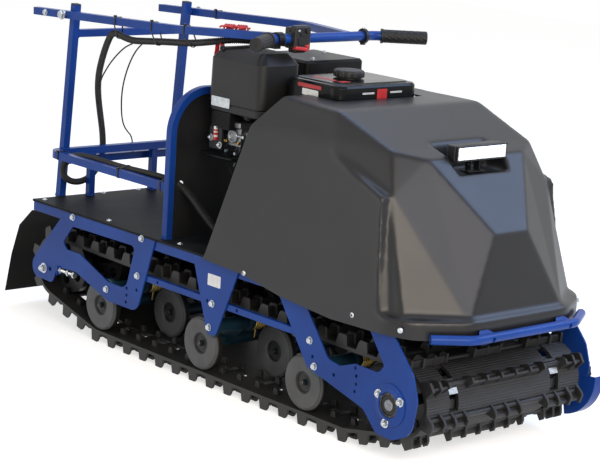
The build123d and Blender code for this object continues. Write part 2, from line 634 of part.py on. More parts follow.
def chain_face(grow):
    """Outline of the chain round its two sprockets, grown by a distance."""
    centres = ((0.0, DRIVE_Z, BIG_SPROCKET_R), (JACK_Y, JACK_Z, SMALL_SPROCKET_R))
    (y0, z0, r0), (y1, z1, r1) = centres
    heading = math.atan2(z1 - z0, y1 - y0)
    lean = math.acos((r0 - r1) / math.hypot(y1 - y0, z1 - z0))
    angles = (heading + lean, heading - lean)
    big = [(y0 + (r0 + grow) * math.cos(a), z0 + (r0 + grow) * math.sin(a)) for a in angles]
    small = [(y1 + (r1 + grow) * math.cos(a), z1 + (r1 + grow) * math.sin(a)) for a in angles]
    back = (y0 - (r0 + grow) * math.cos(heading), z0 - (r0 + grow) * math.sin(heading))
    front = (y1 + (r1 + grow) * math.cos(heading), z1 + (r1 + grow) * math.sin(heading))
    edges = [ThreePointArc(big[0], back, big[1]), Line(big[1], small[1]),
             ThreePointArc(small[1], front, small[0]), Line(small[0], big[0])]
    return make_face(Wire(edges))


def chain():
    """The roller chain as one loop."""
    ring = chain_face(6.0) - chain_face(-5.0)
    return Pos(CHAIN_X - CHAIN_WIDE / 2, 0, 0) * extrude(Plane.YZ * ring, amount=CHAIN_WIDE, dir=(1, 0, 0))


def chain_sprockets():
    """Big sprocket on the drive shaft and the jackshaft above with its small one."""
    big = toothed(0, DRIVE_Z, BIG_SPROCKET_R - 5.3, 26, CHAIN_X, 5, 2.5)
    big -= rod_x(0, DRIVE_Z, AXLE_D + 0.2, 200, 400)
    small = toothed(JACK_Y, JACK_Z, SMALL_SPROCKET_R - 5.3, 12, CHAIN_X, 5, 2.5)
    small += rod_x(JACK_Y, JACK_Z, 20, 130, CHAIN_X + 3)
    return big, small


def jack_stand():
    """Bearing stand that carries the jackshaft on the left rail."""
    stand = None
    for x in (150.0, 262.0):
        leg = plate_yz([(JACK_Y - 60, DECK_TOP, 4), (JACK_Y + 60, DECK_TOP, 4), (JACK_Y + 24, JACK_Z + 24, 20),
                        (JACK_Y - 24, JACK_Z + 24, 20)], x, x + 8)
        leg -= rod_x(JACK_Y, JACK_Z, 20.3, 100, 300)
        stand = leg if stand is None else stand + leg
    return stand + block(150, 270, JACK_Y - 60, JACK_Y + 60, DECK_TOP, DECK_TOP + 6)


def chain_guard():
    """Curved strip in front of the big sprocket, standing out from the left plate."""
    inner, outer = BIG_SPROCKET_R + 23, BIG_SPROCKET_R + 27
    ring = Circle(outer) - Circle(inner)
    reach = 2.5 * outer
    wedge = make_face(Polyline((0, 0), (-reach, 0.08 * reach), (-reach, -reach), (-0.19 * reach, -reach), close=True))
    face = Pos(0, DRIVE_Z) * (ring & wedge)
    strip = Pos(DECK_HALF, 0, 0) * extrude(Plane.YZ * face, amount=31, dir=(1, 0, 0))
    web = Pos(0, DRIVE_Z) * ((Circle(outer) - Circle(BIG_SPROCKET_R - 4)) & wedge)
    strip += Pos(DECK_HALF, 0, 0) * extrude(Plane.YZ * web, amount=PLATE, dir=(1, 0, 0))
    return strip - side_plates(FRONT_PLATE)


def bumper():
    """Bent tube with two tabs back to the frame."""
    z = 304.0
    end, bend = DECK_HALF - 34, DECK_HALF - 116
    path = [(-end, -72, z), (-bend, BUMPER_Y, z), (bend, BUMPER_Y, z), (end, -72, z)]
    tube = bent_tube(path, [55, 55], Circle(BUMPER_D / 2), across=(0, 0, 1))
    for x in (-125, 125):
        tab = prism_xy([(x - 26, DECK_FRONT - BOLT_GAP, 0), (x + 26, DECK_FRONT - BOLT_GAP, 0),
                        (x + 12, BUMPER_Y + 4, 0), (x - 12, BUMPER_Y + 4, 0)], z - TAB_DROP, z - TAB_DROP + 5)
        tab += block(x - 26, x + 26, DECK_FRONT - 5 - BOLT_GAP, DECK_FRONT - BOLT_GAP, z - TAB_DROP, RAIL_Z1 - 4)
        tube += tab
    return tube


def rear_flap():
    """Rubber flap hung under the deck's rear edge."""
    thick = 4.0
    # Columns: y, z of the flap's outer face.
    outer = [(DECK_REAR - 40, RAIL_Z0 - BOLT_GAP), (1410, 307.5), (1474, 295), (1533, 243),
             (1568, 153), (FLAP_REAR, 42)]
    inner = [(y - 0.6 * thick, z - thick) for y, z in reversed(outer[:-1])]
    face = make_face(Polyline(*outer, (FLAP_REAR - thick, 42), *inner, close=True))
    return Pos(-TRACK_WIDE / 2, 0, 0) * extrude(Plane.YZ * face, amount=TRACK_WIDE, dir=(1, 0, 0))


def rounded_case(sides, edge, top):
    """A moulded case: upright corners rounded, top edge bevelled."""
    x0, x1, y0, y1, z0, z1 = sides
    body = block(*sides)
    body = fillet(body.edges().filter_by(Axis.Z), edge)
    return chamfer(body.faces().sort_by(Axis.Z)[-1].edges(), top)


def barrel_plane():
    """Plane across the cylinder at the crank centre."""
    return Plane(origin=(BARREL_X, CRANK_Y, CRANK_Z), x_dir=(1, 0, 0),
                 z_dir=(0, math.cos(math.radians(SLANT)), math.sin(math.radians(SLANT))))


def engine_block():
    """Crankcase on its feet, with the slanted finned cylinder and head."""
    x0, x1, y0, y1 = CASE
    case = block(x0, x1, y0, y1, DECK_TOP + FOOT_TALL, CASE_TOP)
    case = fillet(case.edges().filter_by(Axis.X), 28)
    case += block(x0, x1 + 15, y0 + 20, y0 + 70, DECK_TOP, DECK_TOP + 22)
    case += block(x0, x1 + 15, y1 - 70, y1 - 20, DECK_TOP, DECK_TOP + 22)
    case += block(-60, 50, 430, 555, CASE_TOP - 5, TANK[4] - BOLT_GAP)
    axis = barrel_plane()
    case += extrude(axis.offset(122) * Rectangle(BARREL_WIDE - 36, 118), amount=219)
    for k in range(15):
        fin = axis.offset(150 + k * FIN_PITCH) * Rectangle(BARREL_WIDE, 156)
        case += extrude(fin, amount=FIN_THICK)
    case += extrude(axis.offset(340) * Rectangle(BARREL_WIDE - 50, 92), amount=42)
    case += rod_x(CRANK_Y, CRANK_Z, 25, x1, x1 + 60)
    return case


def recoil_cover():
    """Blower housing on the right with the pull starter."""
    x1 = CASE[0] - BOLT_GAP
    cover = rod_x(CRANK_Y, CRANK_Z, 236, x1 - 62, x1)
    cover += rod_x(CRANK_Y, CRANK_Z, 150, x1 - 92, x1 - 62)
    return cover


def carburettor():
    """Carburettor under the air box with its brass bowl and drain."""
    x, y = CARB
    body = block(x - 22, x + 22, y - 26, y + 26, 592, 640)
    body += Pos(x, y, 578) * Cylinder(24, 30)
    body += Pos(x, y, 556) * Cylinder(5, 16)
    body += block(x - 30, x + 29, y - 30, y + 30, 640, AIR_BOX[4] - BOLT_GAP)
    body += block(x + 22, BARREL_SIDE - BOLT_GAP, y - 16, y + 16, 600, 630)
    return body


def control_plate():
    """Governor lever plate by the cylinder head."""
    x, y = CARB
    x1 = BARREL_SIDE - BOLT_GAP
    outline = [(x - 46, y - 22, 6), (x1, y - 22, 0), (x1, y + 114, 0), (x - 36, y + 114, 14), (x - 50, y + 48, 20)]
    plate = prism_xy(outline, 562, 565) + block(x1 - 3.7, x1, y - 22, y + 114, 540, 565)
    return plate - Pos(x, y, 570) * Cylinder(27, 60)


save("track", track())
for i, pivot_y in enumerate(BOGIE_YS, start=1):
    frame, wheels = bogie(pivot_y)
    save(f"bogie_{i}", frame)
    save(f"rollers_{i}", *wheels)

for name, outline, window in (("rear_plates", REAR_PLATE, REAR_WINDOW), ("middle_plates", MID_PLATE, None),
                              ("front_plates", FRONT_PLATE, None)):
    save(name, *both_sides(side_plates(outline, window=window)))

save("deck_frame", deck_frame())
save("deck_panel", block(-DECK_HALF - PLATE, DECK_HALF + PLATE, BOARD_FRONT, DECK_REAR, RAIL_Z1, DECK_TOP))
save("rear_posts", posts())
save("rack_ring", rack_ring())
tube, panel = hoop()
save("hoop_frame", tube)
hole_x, _, hole_z = LOOM_ROUTE[22]
save("hoop_panel", panel - Pos(hole_x, HOOP_Y, hole_z) * Cylinder(LOOM_HOLE / 2, 60, rotation=(90, 0, 0)))
save("handle_frame", handle())
save("grips", grip(-1), grip(1))
save("pivot_bolts", *both_sides(pivot_bolt()))
save("hood", hood())

save("drive_axle", drive_axle())
save("idler_axle", idler_axle())
save("axle_bearings", axle_bearing(1), axle_bearing(-1))
big, small = chain_sprockets()
save("axle_sprocket", big)
save("jackshaft", small)
save("jack_stand", jack_stand())
save("chain", chain())
save("chain_guard", chain_guard())
slide = block(DECK_HALF - SLIDE_THICK, DECK_HALF - BOLT_GAP, 262, 950, SLIDE_Z - SLIDE_TALL / 2,
              SLIDE_Z + SLIDE_TALL / 2)
save("slide_bars", *both_sides(slide))
save("bumper", bumper())
save("rear_flap", rear_flap())
save("engine_block", engine_block())
save("recoil_cover", recoil_cover())
save("air_box", rounded_case(AIR_BOX, 22, 20))
save("fuel_tank", rounded_case(TANK, 30, 14))
save("fuel_cap", Pos(*CAP_AT, TANK[5] + 10) * Cylinder(CAP_D / 2, 20))
wrap = extrude(barrel_plane().offset(140) * Rectangle(BARREL_WIDE + 0.6, 156.6), amount=260)
save("muffler_cover", rounded_case(MUFFLER, 12, 6) - wrap)
save("carburettor", carburettor())
save("control_plate", control_plate())
save("lamp_body", block(LAMP[0], LAMP[1], LAMP[2] + 6, LAMP[3], LAMP[4], LAMP[5])
     + block(-12, 12, 70, 84, LAMP_RECESS[4] + BOLT_GAP, LAMP[4]))
save("lamp_lens", block(LAMP[0] + 4, LAMP[1] - 4, LAMP[2], LAMP[2] + 5.9, LAMP[4] + 4, LAMP[5] - 4))
save("switch_box", block(-110, -30, BAR_Y - 24, BAR_Y + 20, BAR_Z - 34, BAR_Z + 34)
     - rod_x(BAR_Y, BAR_Z, BAR_D + 0.4, -200, 0) - handle())
save("brake_lever", brake_lever())
save("arm_loom", cord("arm_loom", ARM_LOOM_ROUTE, LOOM_D))
save("loom", cord("loom", LOOM_ROUTE, LOOM_D))
save("throttle_cable", cord("throttle_cable", THROTTLE_ROUTE, CABLE_D))
save("rear_lead", cord("rear_lead", LEAD_ROUTE, CABLE_D))
x0, x1, y0, y1, tall = JUNCTION
save("junction_box", block(x0, x1, y0, y1, DECK_TOP, DECK_TOP + tall))
cross_y = POST_FOOT_Y + (POST_TOP_Y - POST_FOOT_Y) * (LOWER_CROSS - RAIL_Z0) / (POST_TOP - RAIL_Z0)
save("lead_plug", block(PLUG[0], PLUG[1], cross_y + TUBE / 2 + BOLT_GAP, cross_y + TUBE / 2 + PLUG[2],
                        LOWER_CROSS - PLUG[3], LOWER_CROSS))
save("bar_clamp", rod_x(BAR_Y, BAR_Z, BAR_D + 14, 126, 142) - rod_x(BAR_Y, BAR_Z, BAR_D + 0.4, 100, 160))
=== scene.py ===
# %% [markdown]
# # A tracked snow tug, dressed for its picture
# The CAD model gives every size and place. This file loads it as a fixed frame and adds what a
# solid model lacks: paint, moulded plastic, rubber, castings, screws, hoses and wear. Each step
# first says what the piece is on the real machine and how it could be made.

import math

import bmesh
import bpy
import numpy as np
from mathutils import Matrix, Vector
from mathutils.bvhtree import BVHTree


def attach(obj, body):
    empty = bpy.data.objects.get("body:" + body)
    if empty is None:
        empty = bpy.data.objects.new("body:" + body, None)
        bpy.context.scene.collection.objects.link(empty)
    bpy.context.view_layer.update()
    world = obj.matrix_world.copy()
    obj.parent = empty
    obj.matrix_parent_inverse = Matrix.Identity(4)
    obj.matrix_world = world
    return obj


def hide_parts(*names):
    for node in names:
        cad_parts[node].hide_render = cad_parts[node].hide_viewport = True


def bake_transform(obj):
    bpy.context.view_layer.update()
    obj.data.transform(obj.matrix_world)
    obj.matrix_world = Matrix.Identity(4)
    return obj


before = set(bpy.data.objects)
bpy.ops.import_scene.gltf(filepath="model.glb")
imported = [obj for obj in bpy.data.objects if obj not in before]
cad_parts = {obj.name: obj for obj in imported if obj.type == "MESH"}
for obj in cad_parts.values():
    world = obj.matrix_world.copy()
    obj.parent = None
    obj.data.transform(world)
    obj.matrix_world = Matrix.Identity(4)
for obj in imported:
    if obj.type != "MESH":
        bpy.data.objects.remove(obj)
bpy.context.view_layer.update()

# %% [markdown]
# The CAD source counts millimetres from the drive axle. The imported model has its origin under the
# middle of the vehicle, so one function turns the source's numbers into the frame's metres. All
# places below can then be read against the drawing: X to the left, Y to the back and Z up.

# %% Places
MIDDLE_Y = 729.5            # the vehicle's middle, behind the drive axle
DRIVE_Z = 143               # height of the drive axle


def at(x, y, z):
    """A point of the drawing, in the frame's metres."""
    return Vector((x / 1000, (y - MIDDLE_Y) / 1000, z / 1000))


print("drive axle lies at", at(0, 0, DRIVE_Z))

# %% [markdown]
# ## Camera
# The photograph was taken from the front right, a little above the hood. The camera stands where
# the vehicle's known corners line up with their places in the picture.

# %% Camera
CAMERA_AT = at(-3258.2, -2994.3, 1413.6)
AZIMUTH, ELEVATION, ROLL = (math.radians(a) for a in (-41.8, 12.0, 3.6))
FOCAL_PIXELS = 1994.14
PICTURE_WIDE = 600
back = Vector((math.sin(AZIMUTH) * math.cos(ELEVATION), -math.cos(AZIMUTH) * math.cos(ELEVATION),
               math.sin(ELEVATION)))
right = Vector((math.cos(AZIMUTH), math.sin(AZIMUTH), 0))
up = back.cross(right)
rolled_right = right * math.cos(ROLL) + up * math.sin(ROLL)
rolled_up = up * math.cos(ROLL) - right * math.sin(ROLL)
turn = Matrix((rolled_right, rolled_up, back)).transposed().to_4x4()
camera_data = bpy.data.cameras.new("camera")
camera_data.sensor_width = 36
camera_data.lens = FOCAL_PIXELS * 36 / PICTURE_WIDE
camera_data.clip_end = 100
camera = bpy.data.objects.new("camera", camera_data)
camera.matrix_world = Matrix.Translation(CAMERA_AT) @ turn
bpy.context.scene.collection.objects.link(camera)
bpy.context.scene.camera = camera
print("lens", round(camera_data.lens, 2), "mm")

# %% [markdown]
# ## Nodes and colours
# Shaders are trees of nodes. One small function adds any node with its settings and links, and
# another turns the sRGB colours that a designer writes into the linear ones that Blender mixes.

# %% Node and colour helpers
scene = bpy.context.scene
scene.view_settings.view_transform = "Standard"


def add(tree, kind, place=(0, 0), links=None, **settings):
    """Add one node. A setting is an attribute, or a socket's value when it starts with in_."""
    node = tree.nodes.new(kind)
    node.location = place
    for key, value in settings.items():
        if not key.startswith("in_"):
            setattr(node, key, value)
    for key, value in settings.items():
        if key.startswith("in_"):
            name = key[3:]
            socket = node.inputs[int(name)] if name.isdigit() else node.inputs[name.replace("_", " ")]
            socket.default_value = value
    for name, source in (links or {}).items():
        tree.links.new(source, node.inputs[name])
    return node


def linear(hex_colour):
    """An sRGB hex colour as linear RGBA."""
    values = [int(hex_colour[i:i + 2], 16) / 255 for i in (1, 3, 5)]
    return tuple(v / 12.92 if v <= 0.04045 else ((v + 0.055) / 1.055) ** 2.4 for v in values) + (1.0,)


print("mid grey is", round(linear("#808080")[0], 3))

# %% [markdown]
# ## Light and floor
# The machine stands on white. The world is white where the camera, glass or a reflection sees it,
# but it lights the object at half strength only, so that the lamps can shape the hood.

# %% World
world = bpy.data.worlds.new("studio")
scene.world = world
world.use_nodes = True
tree = world.node_tree
tree.nodes.clear()
path = add(tree, "ShaderNodeLightPath")
direct = add(tree, "ShaderNodeMath", operation="MAXIMUM",
             links={0: path.outputs["Is Camera Ray"], 1: path.outputs["Is Transmission Ray"]})
seen = add(tree, "ShaderNodeMath", operation="MAXIMUM",
           links={0: direct.outputs[0], 1: path.outputs["Is Glossy Ray"]})
level = add(tree, "ShaderNodeMapRange", links={"Value": seen.outputs[0]}, in_To_Min=0.5, in_To_Max=1.0)
sky = add(tree, "ShaderNodeBackground", links={"Strength": level.outputs[0]})
sky.inputs["Color"].default_value = (1, 1, 1, 1)
add(tree, "ShaderNodeOutputWorld", links={"Surface": sky.outputs[0]})
print("world ready")

# %% [markdown]
# Five square lamps act as soft boxes. A warm key stands at the right front. Cool ones, at the
# left front and above, give the bluish sheen on the hood's nose and shoulders, as a window does.
# Two weak ones lift the front and the right side.

# %% Lamps
STUDIO_LAMPS = [            # name, place and target in metres, side, watts, tint
    ("key", (-1.9, -3.6, 2.0), (0, -0.5, 0.5), 1.8, 105, "#FFF1DF"),
    ("front_fill", (0.0, -3.9, 2.5), (0, -0.5, 0.5), 1.4, 34, "#EFEFFF"),
    ("window", (2.5, -2.1, 2.8), (0, -0.7, 0.6), 1.8, 62, "#A9C8FF"),
    ("side_fill", (-3.4, 1.2, 1.2), (0, 0.2, 0.4), 2.2, 22, "#FFFFFF"),
    ("top", (0.8, 0.7, 3.6), (0, -0.1, 0.5), 2.2, 38, "#A9C8FF"),
]
for name, place, target, side, watts, tint in STUDIO_LAMPS:
    data = bpy.data.lights.new(name, "AREA")
    data.color = linear(tint)[:3]
    data.shape = "SQUARE"
    data.size = side
    data.energy = watts
    lamp = bpy.data.objects.new(name, data)
    away = Vector(place) - Vector(target)
    lamp.matrix_world = Matrix.Translation(place) @ away.to_track_quat("Z", "Y").to_matrix().to_4x4()
    scene.collection.objects.link(lamp)
print("lamps:", len(STUDIO_LAMPS))

# %% [markdown]
# The floor is studio paper. A little glow, seen by the camera and in reflections only, keeps it
# white up to the soft shadow under the machine.

# %% Floor
floor_mesh = bpy.data.meshes.new("floor")
floor_mesh.from_pydata([(-8, -8, 0), (8, -8, 0), (8, 8, 0), (-8, 8, 0)], [], [(0, 1, 2, 3)])
floor = bpy.data.objects.new("floor", floor_mesh)
scene.collection.objects.link(floor)
white = bpy.data.materials.new("white studio paper")
white.use_nodes = True
tree = white.node_tree
tree.nodes.clear()
path = add(tree, "ShaderNodeLightPath")
lit = add(tree, "ShaderNodeBsdfDiffuse")
lit.inputs["Color"].default_value = linear("#DDDDDC")
glow = add(tree, "ShaderNodeEmission", in_Strength=0.62)
both = add(tree, "ShaderNodeAddShader", links={0: lit.outputs[0], 1: glow.outputs[0]})
seen = add(tree, "ShaderNodeMath", operation="MAXIMUM",
           links={0: path.outputs["Is Camera Ray"], 1: path.outputs["Is Glossy Ray"]})
mix = add(tree, "ShaderNodeMixShader", links={0: seen.outputs[0], 1: lit.outputs[0], 2: both.outputs[0]})
add(tree, "ShaderNodeOutputMaterial", links={"Surface": mix.outputs[0]})
floor_mesh.materials.append(white)
print("floor ready")

# %% [markdown]
# ## Finishes
# Every finish starts from what it is: powder-coated steel, rotation-moulded polyethylene, cast
# aluminium and so on. One function starts a material with a Principled shader. Two others add what
# a real surface shows, at its real size in millimetres: patches of tint and gloss, and grain.

# %% A finish and its surface
def start(name, base, roughness, metallic=0.0, **shader):
    """A material with one Principled shader."""
    made = bpy.data.materials.new(name)
    made.use_nodes = True
    tree = made.node_tree
    tree.nodes.clear()
    body = add(tree, "ShaderNodeBsdfPrincipled")
    body.name = "surface"
    body.inputs["Base Color"].default_value = linear(base)
    body.inputs["Roughness"].default_value = roughness
    body.inputs["Metallic"].default_value = metallic
    for key, value in shader.items():
        body.inputs[key.replace("_", " ")].default_value = value
    add(tree, "ShaderNodeOutputMaterial", links={"Surface": body.outputs[0]})
    return made


def uneven(finish, size_mm, detail, colours=None, gloss=None, span=(0.3, 0.8), coarse=0.5):
    """Patches about size_mm across that vary a finish's colours, its roughness or both."""
    tree = finish.node_tree
    body = tree.nodes["surface"]
    place = add(tree, "ShaderNodeTexCoord")
    patches = add(tree, "ShaderNodeTexNoise", links={"Vector": place.outputs["Object"]},
                  in_Scale=1000 / size_mm, in_Detail=detail, in_Roughness=coarse)
    if colours:
        ramp = add(tree, "ShaderNodeValToRGB", links={0: patches.outputs[0]})
        for element, position, colour in zip(ramp.color_ramp.elements, span, colours):
            element.position = position
            element.color = linear(colour)
        tree.links.new(ramp.outputs[0], body.inputs["Base Color"])
    if gloss:
        spread = add(tree, "ShaderNodeMapRange", links={"Value": patches.outputs[0]},
                     in_To_Min=gloss[0], in_To_Max=gloss[1])
        tree.links.new(spread.outputs[0], body.inputs["Roughness"])


def raised(finish, height, strength, depth_mm):
    """Bump from a height socket between 0 and 1, with its real depth."""
    tree = finish.node_tree
    bump = add(tree, "ShaderNodeBump", links={"Height": height}, in_Strength=strength)
    bump.inputs["Distance"].default_value = depth_mm / 1000
    tree.links.new(bump.outputs[0], tree.nodes["surface"].inputs["Normal"])


def grained(finish, size_mm, detail, strength, depth_mm, coarse=0.5):
    """Grain about size_mm across and depth_mm deep."""
    tree = finish.node_tree
    place = add(tree, "ShaderNodeTexCoord")
    grain = add(tree, "ShaderNodeTexNoise", links={"Vector": place.outputs["Object"]},
                in_Scale=1000 / size_mm, in_Detail=detail, in_Roughness=coarse)
    raised(finish, grain.outputs[0], strength, depth_mm)


print("finish helpers ready")

# %% [markdown]
# The frame is blue powder coat, baked to a smooth film with the fine orange peel of molten powder.
# The peel's waves are about 2 mm long and only microns deep, so they soften a reflection without
# breaking it. Broad patches of gloss and tint stand for handling and a little dust.

# %% Blue powder coat
blue_coat = start("blue powder coat on steel", "#183E8C", 0.34, Coat_Weight=0.05, Coat_Roughness=0.2,
                  Specular_IOR_Level=0.16)
uneven(blue_coat, 180, 3, ("#10347A", "#184290"), gloss=(0.24, 0.38), span=(0.3, 0.75))
grained(blue_coat, 2.2, 1, 0.25, 0.05)

# The suspension under it has the same blue coat, drawn in a darker teal blue as painted shade, because it
# lies in shadow under the frame.
bogie_coat_painted_shade = start("blue coat darkened as painted shade", "#12303F", 0.42, Specular_IOR_Level=0.4)
uneven(bogie_coat_painted_shade, 50, 4, ("#0D2532", "#173A4B"))
grained(bogie_coat_painted_shade, 2.4, 2, 0.25, 0.05)
print("coats:", blue_coat.name, "and", bogie_coat_painted_shade.name)

# %% [markdown]
# The hood is rotation-moulded polyethylene: near-black, waxy and satin. The mould leaves a fine
# pebbled skin that spreads each highlight, and rubbing leaves broad duller patches.

# %% Black polyethylene
hood_skin = start("rotation-moulded black polyethylene", "#161617", 0.38, IOR=1.51, Specular_IOR_Level=0.36)
uneven(hood_skin, 140, 4, ("#131314", "#1C1C1D"), gloss=(0.31, 0.43))
grained(hood_skin, 1.6, 3, 0.35, 0.12, coarse=0.6)
print("hood skin ready")

# %% [markdown]
# Rubber comes in three kinds. The track's is matte, grey-black and dusty from use. Grips, tyres
# and jackets are extruded or moulded and smoother. The rear flap is cut from dull sheet. All three
# scatter light on a fine grain, and the patches in their colour stand for dried dirt.

# %% Rubbers
track_rubber = start("vulcanised track rubber", "#191A1B", 0.5, IOR=1.52, Specular_IOR_Level=0.42)
uneven(track_rubber, 26, 5, ("#131314", "#272625"), gloss=(0.4, 0.66), span=(0.35, 0.8), coarse=0.65)
grained(track_rubber, 1.2, 2, 0.4, 0.15)

soft_rubber = start("extruded black rubber", "#181818", 0.55, IOR=1.52, Specular_IOR_Level=0.3)
uneven(soft_rubber, 60, 3, ("#131313", "#201F1E"))
grained(soft_rubber, 1.0, 2, 0.3, 0.08)

sheet_rubber = start("sheet rubber", "#0E0E0D", 0.6, IOR=1.52, Specular_IOR_Level=0.12)
uneven(sheet_rubber, 110, 4, ("#0B0B0B", "#191816"), span=(0.35, 0.85))
grained(sheet_rubber, 1.4, 3, 0.4, 0.12)
print("rubbers ready")

# %% [markdown]
# The rollers are turned from grey polyamide, and the cutter leaves marks under a millimetre apart
# that dull them. Hubs, plugs, ties and switch cases are moulded from the same plastic in black.
# The engine's covers are polypropylene with a coarser texture, so they shine least.

# %% Plastics
roller_grey = start("turned grey polyamide", "#454546", 0.46, IOR=1.53, Specular_IOR_Level=0.4)
uneven(roller_grey, 30, 4, ("#3A3A3B", "#4C4C4C"))
grained(roller_grey, 0.8, 2, 0.25, 0.05)

hub_black = start("moulded black polyamide", "#161617", 0.42, IOR=1.53, Specular_IOR_Level=0.3)
uneven(hub_black, 45, 3, gloss=(0.34, 0.5))
grained(hub_black, 1.0, 2, 0.25, 0.05)

engine_plastic = start("textured black polypropylene", "#1B1B1C", 0.46, IOR=1.49, Specular_IOR_Level=0.3)
uneven(engine_plastic, 70, 3, ("#161617", "#202021"))
grained(engine_plastic, 0.9, 2, 0.45, 0.12)

red_plastic = start("moulded red plastic", "#B3201F", 0.35, IOR=1.49)
uneven(red_plastic, 30, 3, ("#A21A1B", "#C02826"))
grained(red_plastic, 1.0, 2, 0.2, 0.04)
print("plastics ready")

# %% [markdown]
# The engine's crankcase is die-cast and shows the die's grain. The tank wears gloss enamel with a
# faint peel, and the hot cover beside it a satin heat-proof paint that hides dirt.

# %% Engine finishes
cast_alloy = start("die-cast aluminium", "#8D9092", 0.42, metallic=1.0)
uneven(cast_alloy, 22, 4, ("#6F7273", "#A0A2A3"), gloss=(0.35, 0.6))
grained(cast_alloy, 1.4, 3, 0.5, 0.15)

tank_enamel = start("gloss black enamel", "#0E0F10", 0.2, Coat_Weight=0.1, Coat_Roughness=0.06,
                    Specular_IOR_Level=0.1)
uneven(tank_enamel, 90, 3, gloss=(0.12, 0.24))
grained(tank_enamel, 3.0, 1, 0.2, 0.03)

heat_paint = start("heat-proof black paint", "#101112", 0.36, Specular_IOR_Level=0.14)
uneven(heat_paint, 35, 3, ("#0F0F10", "#1A1A1A"))
grained(heat_paint, 1.8, 3, 0.3, 0.1)
print("engine finishes ready")

# %% [markdown]
# Bare and plated metals keep the default IOR. Zinc is bright and slightly cloudy, its yellow
# passivation turns spring wire golden, turned steel is greyer, oil darkens the chain and the bolts
# in the rollers, and the small carburettor parts are brass.

# %% Metals
zinc = start("zinc-plated steel", "#C3C7CA", 0.3, metallic=1.0)
uneven(zinc, 9, 3, ("#A9AEB2", "#D2D5D6"), gloss=(0.22, 0.42))

yellow_zinc = start("yellow-passivated spring wire", "#B59A55", 0.34, metallic=1.0)
uneven(yellow_zinc, 10, 3, ("#8F7A45", "#C7AD66"))

turned_steel = start("turned mild steel", "#85878A", 0.34, metallic=1.0)
uneven(turned_steel, 4, 4, ("#66686A", "#94979A"))

oiled_chain = start("oiled chain steel", "#3A3937", 0.32, metallic=0.9)
uneven(oiled_chain, 5, 3, ("#262523", "#55524D"), span=(0.3, 0.75))

brass = start("turned brass", "#B8934F", 0.3, metallic=1.0)
uneven(brass, 8, 3, ("#9C7A3C", "#C8A55E"))
print("metals ready")

# %% [markdown]
# Stickers are white vinyl with a slight sheen. The lamp has a clear polycarbonate cover over cups
# that are metallised in a vacuum, so they mirror the studio.

# %% Labels and lamp
white_label = start("white vinyl label", "#DADBDA", 0.4)
uneven(white_label, 12, 3, ("#CFD0CF", "#E2E3E2"))

lamp_glass = start("clear polycarbonate lens", "#F2F5F7", 0.08, IOR=1.58, Transmission_Weight=0.9)
uneven(lamp_glass, 20, 2, gloss=(0.04, 0.12))

reflector = start("vacuum-metallised reflector", "#B4B9BE", 0.16, metallic=1.0)
uneven(reflector, 6, 2, gloss=(0.08, 0.2))
print("label and lamp finishes ready")

# %% [markdown]
# The deck board is black film-faced plywood: brown-black with a woven wire print pressed into its
# face, dull from use. The print's real pitch is about 2 mm. It is drawn at 6 mm, since a finer one
# is lost in the picture.

# %% Deck film
WEAVE_MM = 6.0
deck_film = start("film-faced plywood", "#16181A", 0.5, IOR=1.5, Specular_IOR_Level=0.06)
uneven(deck_film, 90, 5, ("#121416", "#24272A"), gloss=(0.4, 0.65), span=(0.35, 0.8), coarse=0.6)
tree = deck_film.node_tree
place = add(tree, "ShaderNodeTexCoord")
weave = add(tree, "ShaderNodeTexVoronoi", links={"Vector": place.outputs["Object"]},
            in_Scale=1000 / WEAVE_MM, in_Randomness=0.0)
raised(deck_film, weave.outputs["Distance"], 0.5, 0.3)
print("finishes:", len(bpy.data.materials))

# %% [markdown]
# ## CAD pieces that stay
# Tubes, plates and shafts already have their true shape, so they only get a finish.

# %% Finish the CAD nodes
# The bogies' coat is the frame's blue, darkened as painted shade.
FINISH = {
    "track": track_rubber, "bogie_1": bogie_coat_painted_shade, "bogie_2": bogie_coat_painted_shade, "bogie_3": bogie_coat_painted_shade,
    "rollers_1": roller_grey, "rollers_2": roller_grey, "rollers_3": roller_grey,
    "rear_plates": blue_coat, "middle_plates": blue_coat, "front_plates": blue_coat,
    "deck_frame": blue_coat, "deck_panel": deck_film, "rear_posts": blue_coat, "rack_ring": blue_coat,
    "hoop_frame": blue_coat, "hoop_panel": engine_plastic, "handle_frame": blue_coat,
    "grips": soft_rubber, "pivot_bolts": zinc, "hood": hood_skin, "drive_axle": hub_black,
    "idler_axle": hub_black, "axle_bearings": zinc, "axle_sprocket": turned_steel,
    "jackshaft": turned_steel, "jack_stand": blue_coat, "chain": oiled_chain, "chain_guard": blue_coat,
    "slide_bars": blue_coat, "bumper": blue_coat, "rear_flap": sheet_rubber, "engine_block": cast_alloy,
    "recoil_cover": engine_plastic, "air_box": engine_plastic, "fuel_tank": tank_enamel,
    "fuel_cap": hub_black, "muffler_cover": heat_paint, "carburettor": cast_alloy,
    "control_plate": heat_paint, "lamp_body": hub_black, "lamp_lens": lamp_glass,
    "switch_box": hub_black, "bar_clamp": hub_black, "brake_lever": hub_black, "arm_loom": engine_plastic,
    "loom": engine_plastic, "throttle_cable": soft_rubber, "rear_lead": soft_rubber,
    "junction_box": engine_plastic, "lead_plug": hub_black,
}
for name, finish in FINISH.items():
    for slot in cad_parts[name].material_slots:
        slot.material = finish
print("finished CAD nodes:", len(FINISH))

# %% [markdown]
# ## Tools for the modelled pieces
# Small parts are built in millimetres in a local frame whose Z axis points out of the surface that
# they sit on. One matrix then turns, scales and places them.

# %% Local frames
def out_of(x, y, z, towards=(-1, 0, 0), along=(0, 0, 1)):
    """A local frame in millimetres at a drawing point: Z points towards, Y near along."""
    z_axis = Vector(towards).normalized()
    x_axis = Vector(along).cross(z_axis).normalized()
    y_axis = z_axis.cross(x_axis)
    turned = Matrix((x_axis, y_axis, z_axis)).transposed().to_4x4()
    return Matrix.Translation(at(x, y, z)) @ turned @ Matrix.Scale(0.001, 4)


